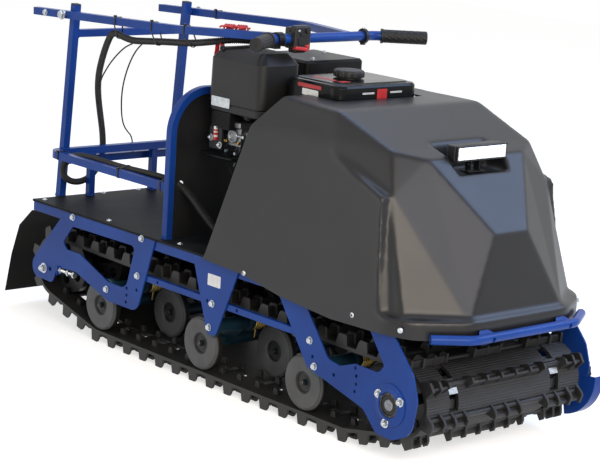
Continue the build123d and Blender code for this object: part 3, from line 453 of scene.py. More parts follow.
def upright(x, y, z):
    """A local frame at a drawing point with the drawing's own axes."""
    return out_of(x, y, z, (0, 0, 1), (0, 1, 0))


def raise_by(place, height):
    """A local frame moved out along its own Z."""
    return place @ Matrix.Translation((0, 0, height))


print("local frames ready")

# %% [markdown]
# Most small parts are turned bodies, boxes with soft edges or skins over rings of points, so three
# functions make nearly all of them.

# %% Bodies
def skin(bm, rings, joined=False):
    """Faces between rings of points, capped at both ends, or joined from the last to the first."""
    following = rings[1:] + rings[:1] if joined else rings[1:]
    count = len(rings[0])
    for low, high in zip(rings, following):
        for k in range(count):
            bm.faces.new((low[k], low[(k + 1) % count], high[(k + 1) % count], high[k]))
    if not joined:
        bm.faces.new(list(reversed(rings[0])))
        bm.faces.new(rings[-1])


def lathe(bm, place, profile, sides=32):
    """A turned body: the profile's (radius, height) points round local Z. A radius of 0 closes it."""
    rings = []
    for radius, height in profile:
        if radius == 0:
            rings.append([bm.verts.new(place @ Vector((0, 0, height)))])
            continue
        ring = []
        for k in range(sides):
            angle = 2 * math.pi * k / sides
            spot = Vector((radius * math.cos(angle), radius * math.sin(angle), height))
            ring.append(bm.verts.new(place @ spot))
        rings.append(ring)
    for low, high in zip(rings, rings[1:]):
        for k in range(sides):
            a, b = low[k % len(low)], low[(k + 1) % len(low)]
            c, d = high[(k + 1) % len(high)], high[k % len(high)]
            corners = [v for i, v in enumerate((a, b, c, d)) if v not in (a, b, c, d)[:i]]
            if len(corners) > 2:
                bm.faces.new(corners)


def soft_box(bm, place, low, high, bevel=1.0, segments=2):
    """A box between two local corners with rounded edges."""
    made = bmesh.ops.create_cube(bm, size=1.0)
    middle = (Vector(low) + Vector(high)) / 2
    span = Vector(high) - Vector(low)
    for vert in made["verts"]:
        vert.co = Vector((vert.co.x * span.x, vert.co.y * span.y, vert.co.z * span.z)) + middle
    edges = list({edge for vert in made["verts"] for edge in vert.link_edges})
    shaped = bmesh.ops.bevel(bm, geom=edges, offset=bevel, segments=segments, affect="EDGES", profile=0.5)
    verts = {vert for face in shaped["faces"] for vert in face.verts}
    verts |= {vert for vert in made["verts"] if vert.is_valid}
    for vert in verts:
        vert.co = place @ vert.co


print("bodies ready")

# %% [markdown]
# A finished piece shades its flat faces flat, however narrow the bevels beside them are. That is
# what the Weighted Normal modifier does, so each piece gets it before it rides its body.

# %% Objects
def loose(name, mesh):
    """An unfinished object for modifiers to work on."""
    made = bpy.data.objects.new(name, mesh)
    scene.collection.objects.link(made)
    return made


def drafted(name, bm):
    """An unfinished object from modelled faces."""
    mesh = bpy.data.meshes.new(name)
    bm.to_mesh(mesh)
    bm.free()
    return loose(name, mesh)


def evaluated(source, name):
    """The source object's mesh with its modifiers applied. The source is removed."""
    graph = bpy.context.evaluated_depsgraph_get()
    mesh = bpy.data.meshes.new_from_object(source.evaluated_get(graph))
    mesh.name = name
    bpy.data.objects.remove(source)
    return mesh


def piece(name, form, finish, body="chassis", sharp=35, stands_for=()):
    """A finished object from modelled faces or a mesh. It rides a body unless that is None."""
    if isinstance(form, bmesh.types.BMesh):
        bmesh.ops.recalc_face_normals(form, faces=form.faces)
        draft = drafted(name, form)
    else:
        draft = loose(name, form)
    mesh = draft.data
    mesh.materials.clear()
    mesh.materials.append(finish)
    mesh.polygons.foreach_set("use_smooth", [True] * len(mesh.polygons))
    mesh.set_sharp_from_angle(angle=math.radians(sharp))
    flat = draft.modifiers.new("flat faces stay flat", "WEIGHTED_NORMAL")
    flat.keep_sharp = True
    made = loose(name, evaluated(draft, name))
    if body:
        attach(made, body)
    if stands_for:
        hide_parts(*stands_for)
    return made


print("tools ready")

# %% [markdown]
# ## Hood
# The real hood is one rotation-moulded shell: flat facets that meet in soft edges, a ledge along
# each side, a groove beside each cheek and a lip that hangs over the frame. Its corners come from
# the drawing. A closed body through them is remeshed to an even grid and smoothed, which gives
# each edge the mould's radius. Then its open ends are cut, and a wall is added inside.

# %% Hood corners
HOOD = {
    "rear_foot": (300, 655, 345), "rear_waist": (266, 552, 673), "rear_ledge": (258, 545, 690),
    "rear_top": (218, 490, 754), "top_bend": (230, 290, 752), "ledge_bend": (257, 270, 693),
    "waist_bend": (268, 265, 663), "brow": (222, 112, 686), "corner": (249, 72, 595),
    "waist_front": (280, 76, 592), "foot_front": (304, 40, 335), "cheek_foot": (272, -10, 335),
    "groove_top": (258, 79, 590), "groove_foot": (281, 22, 335), "lamp_side": (153, 67, 671),
    "nose_top": (53, -58, 517), "nose_foot": (149, -96, 335),
}
HOOD_SIDE = [
    ("rear_foot", "foot_front", "waist_front"), ("rear_foot", "waist_front", "waist_bend"),
    ("rear_foot", "waist_bend", "rear_waist"), ("rear_waist", "waist_bend", "ledge_bend", "rear_ledge"),
    ("waist_bend", "waist_front", "corner"), ("waist_bend", "corner", "ledge_bend"),
    ("rear_ledge", "ledge_bend", "top_bend", "rear_top"), ("ledge_bend", "corner", "brow"),
    ("ledge_bend", "brow", "top_bend"), ("waist_front", "foot_front", "groove_foot", "groove_top"),
    ("waist_front", "groove_top", "corner"), ("groove_top", "groove_foot", "cheek_foot", "corner"),
    ("cheek_foot", "nose_foot", "corner"), ("corner", "nose_foot", "lamp_side"),
    ("corner", "lamp_side", "brow"), ("lamp_side", "nose_foot", "nose_top"),
]
HOOD_RIM = ["rear_foot", "rear_waist", "rear_ledge", "rear_top", "top_bend", "brow", "lamp_side", "nose_top",
            "nose_foot", "cheek_foot", "groove_foot", "foot_front", "rear_foot"]
HOOD_PAST = 30              # the closed body runs on this far behind the real edge
SKIRT_PLAN = [(304.5, 690), (304.5, 10), (272, -40), (223, -70), (155, -110)]
SKIRT_TOP = 341
SKIRT_EDGE = [(700, 338), (503, 331), (366, 309), (191, 297), (10, 302), (-40, 298), (-120, 296)]
HOOD_WALL = 4
print("hood corners:", len(HOOD))


# %% Closed body of the hood
RECESS = [(80, 42, 118, 631), (100, 10, 152, 780)]      # half width, front, rear and height of each level
SKIRT_FROM = 260
SKIRT_ROUND = 0.022


def hood_body():
    """The hood's outer faces, closed behind and below."""
    bm = bmesh.new()
    corners = {}
    for name, (half, y, z) in HOOD.items():
        past = HOOD_PAST if name.startswith("rear") else 0
        for side in (-1, 1):
            corners[name, side] = bm.verts.new(at(side * half, y + past, z))
    for side in (-1, 1):
        for names in HOOD_SIDE:
            bm.faces.new([corners[name, side] for name in names])
    for name, following in zip(HOOD_RIM, HOOD_RIM[1:]):
        bm.faces.new((corners[name, -1], corners[name, 1], corners[following, 1], corners[following, -1]))
    bmesh.ops.recalc_face_normals(bm, faces=bm.faces)
    bmesh.ops.triangulate(bm, faces=bm.faces)
    return drafted("hood body", bm)


def lamp_recess():
    """The pocket that the lamp stands in: a funnel that narrows to its floor."""
    bm = bmesh.new()
    rings = []
    for half, front, rear, z in RECESS:
        ring = [(-half, front), (half, front), (half, rear), (-half, rear)]
        rings.append([bm.verts.new(at(x, y, z)) for x, y in ring])
    skin(bm, rings)
    bmesh.ops.recalc_face_normals(bm, faces=bm.faces)
    return drafted("lamp recess", bm)


def skirt_body():
    """The lip round the hood's foot, as a plain prism."""
    outline = SKIRT_PLAN + [(-x, y) for x, y in reversed(SKIRT_PLAN)]
    bm = bmesh.new()
    skin(bm, [[bm.verts.new(at(x, y, z)) for x, y in outline] for z in (SKIRT_FROM, SKIRT_TOP)])
    bmesh.ops.recalc_face_normals(bm, faces=bm.faces)
    upright_edges = [edge for edge in bm.edges if abs(edge.verts[0].co.z - edge.verts[1].co.z) > 0.01]
    bmesh.ops.bevel(bm, geom=upright_edges, offset=SKIRT_ROUND, segments=4, affect="EDGES", profile=0.5)
    return drafted("skirt body", bm)


outer = hood_body()
recess = lamp_recess()
skirt = skirt_body()
for operation, other in (("DIFFERENCE", recess), ("UNION", skirt)):
    cut = outer.modifiers.new(operation, "BOOLEAN")
    cut.operation = operation
    cut.solver = "EXACT"
    cut.object = other
faceted = evaluated(outer, "faceted hood")
bpy.data.objects.remove(recess)
bpy.data.objects.remove(skirt)
print("faceted hood:", len(faceted.polygons), "faces")

# %% [markdown]
# A voxel remesh turns the facets into an even grid, which can be smoothed point by point. The grid
# is first laid back on the exact facets, so that only the smoothing rounds their edges.

# %% Even grid
GRID = 0.0055               # metres; fine enough for the lip, coarse enough for the triangle budget
gridded = loose("hood grid", faceted.copy())
remesh = gridded.modifiers.new("even grid", "REMESH")
remesh.mode = "VOXEL"
remesh.voxel_size = GRID
hood_mesh = evaluated(gridded, "hood")
print("hood grid:", len(hood_mesh.vertices), "points")


# %% Soften
def smoothed(mesh, rounds, weight):
    """Pull each point towards its neighbours' middle, by its own weight."""
    count = len(mesh.vertices)
    points = np.empty(count * 3)
    mesh.vertices.foreach_get("co", points)
    points = points.reshape(-1, 3)
    edges = np.empty(len(mesh.edges) * 2, dtype=np.int64)
    mesh.edges.foreach_get("vertices", edges)
    edges = edges.reshape(-1, 2)
    degree = np.bincount(edges.ravel(), minlength=count).astype(float)[:, None]
    pull = weight(points)[:, None]
    for _ in range(rounds):
        total = np.zeros_like(points)
        np.add.at(total, edges[:, 0], points[edges[:, 1]])
        np.add.at(total, edges[:, 1], points[edges[:, 0]])
        points += pull * (total / degree - points)
    mesh.vertices.foreach_set("co", points.ravel())


def flattened(mesh, exact):
    """Put each grid point on the nearest point of the exact facets."""
    bm = bmesh.new()
    bm.from_mesh(exact)
    tree = BVHTree.FromBMesh(bm)
    bm.free()
    for vert in mesh.vertices:
        vert.co = tree.find_nearest(vert.co)[0]


def mould_softness(points):
    """Softer along the shoulders and the lip than on the nose's facets."""
    y = points[:, 1] * 1000 + MIDDLE_Y
    z = points[:, 2] * 1000
    shoulder = np.clip((z - 560) / 60, 0, 1) * np.clip((y - 90) / 80, 0, 1)
    lip = np.clip((360 - z) / 15, 0, 1)
    return 0.3 + 0.6 * np.maximum(shoulder, lip)


flattened(hood_mesh, faceted)
smoothed(hood_mesh, 7, mould_softness)
print("hood softened")

# %% [markdown]
# The open ends are cut along planes: the two slants behind, the lip's edge below and the window
# round the fuel tank. Only then does Solidify add the wall, inwards from the fitted outside.

# %% Cut and thicken
HOOD_BACK = [(655, 345), (552, 676), (490, 754)]        # side view of the rear edge
TANK_WINDOW = (-143, 133, 387, 640)                     # x0, x1, y0, z0


def below_edge(y, z):
    """True under the skirt's lower edge."""
    for (y0, z0), (y1, z1) in zip(SKIRT_EDGE, SKIRT_EDGE[1:]):
        if y1 <= y <= y0:
            return z < z0 + (z1 - z0) * (y - y0) / (y1 - y0)
    return z < SKIRT_EDGE[-1][1]


def behind_back(y, z):
    """True behind either slant of the rear edge."""
    slants = zip(HOOD_BACK, HOOD_BACK[1:])
    return any(y > y0 + (z - z0) * (y1 - y0) / (z1 - z0) for (y0, z0), (y1, z1) in slants)


def in_window(x, y, z):
    """True in the window round the fuel tank."""
    x0, x1, y0, z0 = TANK_WINDOW
    return x0 < x < x1 and y > y0 and z > z0


def cut_across(bm, point, normal):
    """Bisect with a plane and keep both sides."""
    everything = bm.verts[:] + bm.edges[:] + bm.faces[:]
    bmesh.ops.bisect_plane(bm, geom=everything, plane_co=point, plane_no=normal)


def cut_plane(bm, first, second):
    """Bisect with the plane through two side-view points (y, z)."""
    a, b = at(0, *first), at(0, *second)
    cut_across(bm, a, Vector((1, 0, 0)).cross(b - a).normalized())


def drop_faces(bm, test):
    """Delete the faces whose middle, in drawing millimetres, passes a test."""
    gone = []
    for face in bm.faces:
        middle = face.calc_center_median()
        if test(middle.x * 1000, middle.y * 1000 + MIDDLE_Y, middle.z * 1000):
            gone.append(face)
    bmesh.ops.delete(bm, geom=gone, context="FACES")


bm = bmesh.new()
bm.from_mesh(hood_mesh)
for first, second in zip(HOOD_BACK, HOOD_BACK[1:]):
    cut_plane(bm, first, second)
drop_faces(bm, lambda x, y, z: behind_back(y, z))
for y, _ in SKIRT_EDGE[1:-1]:
    cut_across(bm, at(0, y, 300), (0, 1, 0))
for first, second in zip(SKIRT_EDGE, SKIRT_EDGE[1:]):
    cut_plane(bm, first, second)
drop_faces(bm, lambda x, y, z: below_edge(y, z))
for x in TANK_WINDOW[:2]:
    cut_across(bm, at(x, 0, 0), (1, 0, 0))
cut_across(bm, at(0, TANK_WINDOW[2], 0), (0, 1, 0))
drop_faces(bm, in_window)
bmesh.ops.remove_doubles(bm, verts=bm.verts, dist=0.0004)
bm.to_mesh(hood_mesh)
bm.free()
shell = loose("hood shell", hood_mesh)
wall = shell.modifiers.new("wall", "SOLIDIFY")
wall.thickness = HOOD_WALL / 1000
wall.offset = -1
hood_mesh = evaluated(shell, "hood")
piece("hood_moulding", hood_mesh, hood_skin, sharp=50, stands_for=["hood"])
print("hood moulding:", len(hood_mesh.polygons), "faces")

# %% [markdown]
# ## Track
# The track is a rubber belt with a row of lugs every 69 mm. Wide centre paddles and wide side
# groups take turns, each a wall with cupped fins. A moulded-in rod stands out under each row, steel
# clips edge the drive windows, and fine ribs cross the belt.

# %% Loop of the belt
IDLER_Y, IDLER_Z = 1355, 162
ROLLER_Z = 101.5            # height of every roller's axle
BELT_ROUND = [              # y, z, inner radius
    (0, DRIVE_Z, 72), (IDLER_Y, IDLER_Z, 76), (1147, ROLLER_Z, 67.5), (187, ROLLER_Z, 67.5),
]
BELT_THICK = 8
LUG_TALL = 26
LUG_PITCH = 69


def round_loop(circles, rise):
    """The outline round a ring of circles as (kind, length, data) pieces, rise outside them."""
    normals = []
    count = len(circles)
    for (y0, z0, r0), (y1, z1, r1) in zip(circles, circles[1:] + circles[:1]):
        heading = math.atan2(z1 - z0, y1 - y0)
        normals.append(heading + math.acos((r0 - r1) / math.hypot(y1 - y0, z1 - z0)))
    pieces = []
    for i in range(count):
        y0, z0, r0 = circles[i]
        y1, z1, r1 = circles[(i + 1) % count]
        span = math.sqrt((y1 - y0) ** 2 + (z1 - z0) ** 2 - (r0 - r1) ** 2)
        pieces.append(("line", span, (y0, z0, r0, normals[i], 0)))
        turned = (normals[i] - normals[(i + 1) % count]) % (2 * math.pi)
        pieces.append(("arc", turned * (r1 + rise), (y1, z1, r1, normals[i], turned)))
    return pieces


def along_loop(pieces, s, height):
    """The side-view point at distance s along a loop, at a height over its circles."""
    s %= sum(length for _, length, _ in pieces)
    for kind, length, data in pieces:
        if s <= length:
            break
        s -= length
    y, z, r, normal, turned = data
    angle = normal if kind == "line" else normal - turned * s / length
    slide = s if kind == "line" else 0
    return (y + (r + height) * math.cos(angle) + slide * math.sin(angle),
            z + (r + height) * math.sin(angle) - slide * math.cos(angle))


belt = round_loop(BELT_ROUND, BELT_THICK / 2)
BELT_LONG = sum(length for _, length, _ in belt)
ROWS = round(BELT_LONG / LUG_PITCH / 2) * 2
PITCH = BELT_LONG / ROWS
FIRST_ROW = PITCH           # the row over the drive axle is one of side groups
print("belt", round(BELT_LONG), "mm,", ROWS, "rows")

# %% [markdown]
# A row is modelled once in its own frame: X across the belt, Y along it and Z out of it. Every part
# of it is a side profile with a width, so one function makes rods, walls, fins, clips and teeth.

# %% Side profiles of a row
FLAT = Matrix.Scale(0.001, 4)
TOP = BELT_THICK + LUG_TALL
SUNK = 6                    # lugs start this high, inside the belt's thickness
WALL = [(-11, SUNK), (-9.5, TOP - 6), (-5.5, TOP - 5), (-2, TOP - 8), (0, SUNK)]
FIN = [(-13, SUNK), (-10.5, TOP), (2, TOP), (10, TOP - 8), (16, SUNK)]
END_FIN = [(-19, SUNK), (-14, TOP), (8, TOP), (13, TOP - 6), (20, SUNK)]
ROD = [(-2, SUNK), (-2.5, 11), (0, 15), (4, 16.5), (8, 15), (10.5, 11), (10, SUNK)]
BRIDGE = [(-17, 0.2), (-17, 8), (17, 8), (17, 0.2)]
TOOTH = [(-9, 1), (9, 1), (6, -15), (-6, -15)]
ROD_WIDE = 498
WINDOW_X = 165              # middle of each line of drive windows
EDGE_X = 200                # fins further out than this are the broad blocks at the belt's edge
FIN_WIDE = 8


def fin(bm, x, wide, profile):
    """A rubber body: a side profile of (along, height) points, wide across the belt, with draft."""
    lean = 0.12 * wide
    rings = []
    for side in (1, -1):
        ring = []
        for s, h in profile:
            thin = lean * max(0, h - BELT_THICK) / LUG_TALL
            ring.append(bm.verts.new(FLAT @ Vector((x + side * (wide / 2 - thin), s, h))))
        rings.append(ring)
    skin(bm, rings)


def lug_group(bm, x0, x1, fins):
    """A wall between two places across the belt, with fins spread over it."""
    fin(bm, (x0 + x1) / 2, x1 - x0, WALL)
    first = x0 + FIN_WIDE / 2
    span = x1 - x0 - FIN_WIDE
    for k in range(fins):
        x = first + span * k / (fins - 1)
        fin(bm, x, FIN_WIDE, END_FIN if abs(x) > EDGE_X else FIN)


print("lugs stand", LUG_TALL, "mm out of the belt")


# %% Two kinds of row
def row(name, groups):
    """One row: its rod, its lug groups, the bridges between windows and the drive teeth."""
    bm = bmesh.new()
    fin(bm, 0, ROD_WIDE, ROD)
    for x0, x1, fins in groups:
        lug_group(bm, x0, x1, fins)
    for side in (-1, 1):
        fin(bm, side * WINDOW_X, 28, BRIDGE)
        for x in (145, 210):
            fin(bm, side * x, 10, TOOTH)
    bmesh.ops.recalc_face_normals(bm, faces=bm.faces)
    edges = [edge for edge in bm.edges if edge.calc_length() > 0.004]
    bmesh.ops.bevel(bm, geom=edges, offset=0.0009, segments=1, affect="EDGES", clamp_overlap=True)
    return drafted(name, bm)


wide_paddle = row("wide paddle row", [(-250, -188, 3), (-122, 122, 6), (188, 250, 3)])
side_groups = row("side groups row", [(-250, -128, 4), (-46, 46, 3), (128, 250, 4)])
print("row faces:", len(wide_paddle.data.polygons), len(side_groups.data.polygons))

# %% [markdown]
# The rows are set along the loop by a node tree, so that their number and shape can be changed in
# one place. The tree turns each row about X to the loop's direction.

# %% Node tree that repeats parts along a loop
def repeat_tree():
    """Instances of two objects, turn by turn, along a curve in the side plane."""
    tree = bpy.data.node_groups.new("repeat along loop", "GeometryNodeTree")
    sockets = [("Path", "NodeSocketObject"), ("Count", "NodeSocketInt"), ("First", "NodeSocketObject"),
               ("Second", "NodeSocketObject"), ("Finish", "NodeSocketMaterial")]
    tree.interface.new_socket("Geometry", in_out="INPUT", socket_type="NodeSocketGeometry")
    for name, kind in sockets:
        tree.interface.new_socket(name, in_out="INPUT", socket_type=kind)
    tree.interface.new_socket("Geometry", in_out="OUTPUT", socket_type="NodeSocketGeometry")
    given = add(tree, "NodeGroupInput", (-1200, 0))
    path = add(tree, "GeometryNodeObjectInfo", (-1000, 200), {"Object": given.outputs["Path"]})
    evenly = add(tree, "GeometryNodeResampleCurve", (-800, 200),
                 {"Curve": path.outputs["Geometry"], "Count": given.outputs["Count"]}, mode="COUNT")
    tangent = add(tree, "GeometryNodeInputTangent", (-1000, -200))
    parts = add(tree, "ShaderNodeSeparateXYZ", (-800, -200), {0: tangent.outputs[0]})
    angle = add(tree, "ShaderNodeMath", (-600, -200), {0: parts.outputs["Z"], 1: parts.outputs["Y"]},
                operation="ARCTAN2")
    turned = add(tree, "FunctionNodeAxisAngleToRotation", (-400, -200), {"Angle": angle.outputs[0]},
                 in_Axis=(1, 0, 0))
    index = add(tree, "GeometryNodeInputIndex", (-1000, -400))
    odd = add(tree, "ShaderNodeMath", (-800, -400), {0: index.outputs[0]}, operation="MODULO", in_1=2.0)
    joined = add(tree, "GeometryNodeJoinGeometry", (0, 0))
    for name, operation in (("First", "LESS_THAN"), ("Second", "GREATER_THAN")):
        source = add(tree, "GeometryNodeObjectInfo", (-600, 0), {"Object": given.outputs[name]})
        chosen = add(tree, "ShaderNodeMath", (-600, -400), {0: odd.outputs[0]}, operation=operation, in_1=0.5)
        put = add(tree, "GeometryNodeInstanceOnPoints", (-200, 0),
                  {"Points": evenly.outputs[0], "Instance": source.outputs["Geometry"],
                   "Rotation": turned.outputs[0], "Selection": chosen.outputs[0]})
        tree.links.new(put.outputs[0], joined.inputs[0])
    real = add(tree, "GeometryNodeRealizeInstances", (200, 0), {0: joined.outputs[0]})
    dressed = add(tree, "GeometryNodeSetMaterial", (400, 0),
                  {"Geometry": real.outputs[0], "Material": given.outputs["Finish"]})
    add(tree, "NodeGroupOutput", (600, 0), {0: dressed.outputs[0]})
    return tree


REPEAT = repeat_tree()
print("repeat tree:", len(REPEAT.nodes), "nodes")

# %% [markdown]
# The path is a closed curve of short straight runs, eight to a row. The modifier's inputs are set
# by each socket's identifier. The result becomes a plain mesh, and its helpers are removed.

# %% Rows of lugs
PATH_STEPS = 8


def loop_curve(name, places):
    """A closed straight-run curve through points of the frame."""
    curve = bpy.data.curves.new(name, "CURVE")
    curve.dimensions = "3D"
    spline = curve.splines.new("POLY")
    spline.points.add(len(places) - 1)
    for point, place in zip(spline.points, places):
        point.co = (*place, 1)
    spline.use_cyclic_u = True
    made = bpy.data.objects.new(name, curve)
    scene.collection.objects.link(made)
    return made


def belt_path(name):
    """The belt's path, which starts at its first row."""
    stops = [FIRST_ROW + k * PITCH / PATH_STEPS for k in range(ROWS * PATH_STEPS)]
    return loop_curve(name, [at(0, *along_loop(belt, s, 0)) for s in stops])


def repeated(name, path, count, first, second, finish):
    """A plain mesh of two objects repeated along a path."""
    carrier = loose(name, bpy.data.meshes.new(name))
    nodes = carrier.modifiers.new("repeat", "NODES")
    nodes.node_group = REPEAT
    values = {"Path": path, "Count": count, "First": first, "Second": second, "Finish": finish}
    for item in REPEAT.interface.items_tree:
        if item.item_type == "SOCKET" and item.name in values:
            nodes[item.identifier] = values[item.name]
    carrier.update_tag()
    bpy.context.view_layer.update()
    mesh = evaluated(carrier, name)
    for used in {path, first, second}:
        bpy.data.objects.remove(used)
    return mesh


rows_mesh = repeated("track lug rows", belt_path("belt path"), ROWS, wide_paddle, side_groups, track_rubber)
piece("track_lug_rows", rows_mesh, track_rubber, sharp=30, stands_for=["track"])
print("lug rows:", ROWS)

# %% [markdown]
# The belt itself is three bands between the two lines of drive windows. Fine ribs cross its outer
# face, so each band is a skin over rings that step up and down along the loop.

# %% Belt bands
BELT_BANDS = [(-250, -179), (-151, 151), (179, 250)]
RIB_PITCH = 6.5
RIB_TALL = 0.9
RIBS = round(BELT_LONG / RIB_PITCH)
RIB_SHAPE = [(0.0, 0), (0.3, 0), (0.45, RIB_TALL), (0.85, RIB_TALL)]     # share of the pitch, height


def ribbed_band(bm, x0, x1):
    """A closed band of the belt with ribs across its outer face."""
    rings = []
    for k in range(RIBS):
        for share, rise in RIB_SHAPE:
            s = (k + share) * BELT_LONG / RIBS
            height = BELT_THICK + rise
            corners = ((x0, 0), (x0, height), (x1, height), (x1, 0))
            rings.append([bm.verts.new(at(x, *along_loop(belt, s, h))) for x, h in corners])
    skin(bm, rings, joined=True)


bm = bmesh.new()
for x0, x1 in BELT_BANDS:
    ribbed_band(bm, x0, x1)
piece("track_belt", bm, track_rubber, sharp=25, stands_for=["track"])
print("belt ribs:", RIBS)

# %% [markdown]
# Steel clips guard every second pair of windows against the sprocket. Each is pressed from strip
# and folded over the belt's edge, so three thin profiles make it.

# %% Track clips
CLIP_PARTS = [
    [(-19, -0.8), (-19, 10), (-16.4, 9.4), (-16.4, -0.8)],
    [(-19, 9.2), (-19, 10), (-5, 10), (-5, 9.2)],
    [(-19, -0.8), (-19, -0.2), (-5, -0.2), (-5, -0.8)],
]


def clip_pair(name):
    """The clips of one row, one beside each drive window."""
    bm = bmesh.new()
    for side in (-1, 1):
        for profile in CLIP_PARTS:
            fin(bm, side * WINDOW_X, 27, profile)
    return drafted(name, bm)


clip_path = belt_path("clip path")
clips = repeated("track clips", clip_path, ROWS // 2, clip_pair("clip one"), clip_pair("clip two"), zinc)
piece("track_clips", clips, zinc, sharp=30)
print("clips:", ROWS)

# %% [markdown]
# ## Rollers
# Each road roller is a turned polyamide disc with a black rubber tyre on its inner half, a hub cap
# sunk in its face and a small hexagon bolt in the end of its axle. All are turned round the axle.

# %% Roller sections
BOGIE_YS = (253, 641.5, 1067)
ROLLER_R = 67.2
DISC_R = ROLLER_R - 0.4
ROLLER_PLACES = ((236, 80), (120, -66))     # x and distance behind the bogie's pivot
AXLE_END = 10.2
DISC = [(25, 2), (27, 7.5), (30, 9), (58, 10), (61, 9.6), (62, 8), (64, 8), (64.6, 7), (DISC_R, 5.5),
        (DISC_R, 1.6), (60, 1.5), (25, 1.5), (25, 2)]
TYRE = [(60, 1.4), (ROLLER_R, 1.4), (ROLLER_R, -8.5), (ROLLER_R - 1.5, -10), (56, -10), (54, -6), (30, -5),
        (28, 1.4), (60, 1.4)]
HUB = [(0, 3.4), (9, 3.4), (10, 4.2), (15, 4.2), (16, 3), (22, 3), (23.5, 5.4), (25.5, 5.4), (26, 1), (0, 1)]


def hex_head(bm, place, across=17, tall=6.5, washer=21):
    """A hexagon bolt head with its chamfered top, on a washer."""
    lathe(bm, place, [(0, 0), (washer / 2, 0), (washer / 2, 1.4), (washer / 2 - 0.4, 1.7), (0, 1.7)], 28)
    corner = across / math.sqrt(3)
    top = 1.7 + tall
    lathe(bm, place, [(0, 1.7), (corner, 1.7), (corner, top - 1.2), (corner * 0.86, top), (0, top)], 6)


print("roller", 2 * ROLLER_R, "mm across")

# %% Rollers
for number, pivot_y in enumerate(BOGIE_YS, start=1):
    discs, tyres, hubs, bolts = bmesh.new(), bmesh.new(), bmesh.new(), bmesh.new()
    for x, behind in ROLLER_PLACES:
        for side in (-1, 1):
            place = out_of(side * x, pivot_y + behind, ROLLER_Z, (side, 0, 0))
            lathe(discs, place, DISC, 72)
            lathe(tyres, place, TYRE, 72)
            lathe(hubs, place, HUB, 48)
            hex_head(bolts, raise_by(place, AXLE_END), 11, 2.6, 16)
    node = "rollers_" + str(number)
    piece(node + "_discs", discs, roller_grey, sharp=40, stands_for=[node])
    piece(node + "_tyres", tyres, soft_rubber, sharp=40, stands_for=[node])
    piece(node + "_hubs", hubs, hub_black, sharp=40, stands_for=[node])
    piece(node + "_bolts", bolts, oiled_chain, sharp=30)
print("rollers:", 4 * len(BOGIE_YS))

# %% [markdown]
# ## Chain
# A roller chain of 12.7 mm pitch: outer and inner links take turns, each two waisted plates, with
# a roller at each pin. The tree that repeats the track's rows sets these links too.

# %% Chain
CHAIN_ROUND = [(0, DRIVE_Z, 78), (128, 372, 27)]            # y, z and pitch radius of both sprockets
CHAIN_X = 289.3
CHAIN_PITCH = 12.7
PLATE_R = 5.4
WAIST = 3.6
PLATE_THICK = 1.2
PIN = [(0, -4.4), (2, -4.4), (2, -2), (3.9, -2), (3.9, 2), (2, 2), (2, 4.4), (0, 4.4)]
chain_loop = round_loop(CHAIN_ROUND, 0)
CHAIN_LONG = sum(length for _, length, _ in chain_loop)
LINKS = round(CHAIN_LONG / CHAIN_PITCH / 2) * 2


def link(name, gap):
    """Two waisted plates, a gap either side of the middle, and the roller at one pin."""
    bm = bmesh.new()
    half = CHAIN_LONG / LINKS / 2
    outline = []
    for k in range(7):
        angle = math.radians(-75 + 25 * k)
        outline.append((half + PLATE_R * math.cos(angle), PLATE_R * math.sin(angle)))
    outline.append((0, WAIST))
    outline += [(-y, z) for y, z in reversed(outline[:7])]
    outline.append((0, -WAIST))
    for side in (-1, 1):
        low = side * gap - PLATE_THICK / 2
        sides_x = (low, low + PLATE_THICK)
        skin(bm, [[bm.verts.new(FLAT @ Vector((x, y, z))) for y, z in outline] for x in sides_x])
    pin = Matrix(((0, 0, 1, 0), (1, 0, 0, half), (0, 1, 0, 0), (0, 0, 0, 1)))
    lathe(bm, FLAT @ pin, PIN, 10)
    bmesh.ops.recalc_face_normals(bm, faces=bm.faces)
    return drafted(name, bm)


CHAIN_STEPS = 240
stops = [k * CHAIN_LONG / CHAIN_STEPS for k in range(CHAIN_STEPS)]
path = loop_curve("chain path", [at(CHAIN_X, *along_loop(chain_loop, s, 0)) for s in stops])
links = repeated("chain links", path, LINKS, link("inner link", 1.9), link("outer link", 3.3), oiled_chain)
piece("chain_links", links, oiled_chain, sharp=30, stands_for=["chain"])
print("chain links:", LINKS)

# %% [markdown]
# ## Cords
# The engine's leads run in a corrugated sleeve along the right arm, hang from it to the posts and
# run round the rack to the deck. Two thin cables leave it. Their routes are those of the drawing.

# %% Cord routes
ARM_LOOM_ROUTE = [
    (-72, 631.3, 852), (-72, 668, 852), (-82, 705, 849), (-106, 747, 847), (-138, 790, 846), (-168, 838, 835),
    (-182, 900, 824), (-191, 966, 819), (-198, 1020, 814), (-202, 1066, 809), (-206, 1120, 804),
    (-206, 1165, 813),
]
LOOM_ROUTE = [
    (-206, 1165.5, 813.1), (-206, 1195, 819), (-194, 1236, 780), (-178, 1277, 733), (-160, 1314, 687),
    (-142, 1340, 641), (-118, 1363, 590), (-90, 1388, 537), (-64, 1416, 496), (-45, 1440, 461),
    (-43, 1451, 424), (-64, 1445, 394), (-100, 1430, 379), (-141, 1415, 375), (-181, 1402, 384),
    (-211, 1390, 407), (-222, 1371, 441), (-225.5, 1330, 470), (-225, 1250, 480), (-224, 1120, 476),
    (-224, 990, 481), (-223, 905, 481), (-222, 860, 474), (-217, 815, 448), (-215, 768, 414),
    (-209, 715, 377), (-202, 665, 360), (-202, 620.3, 360),
]
THROTTLE_ROUTE = [
    (-199, 1118, 795.5), (-192, 1150, 786), (-184, 1192, 764), (-177, 1236, 733), (-170, 1268, 706),
    (-163, 1298, 678), (-151.5, 1319, 655),
]
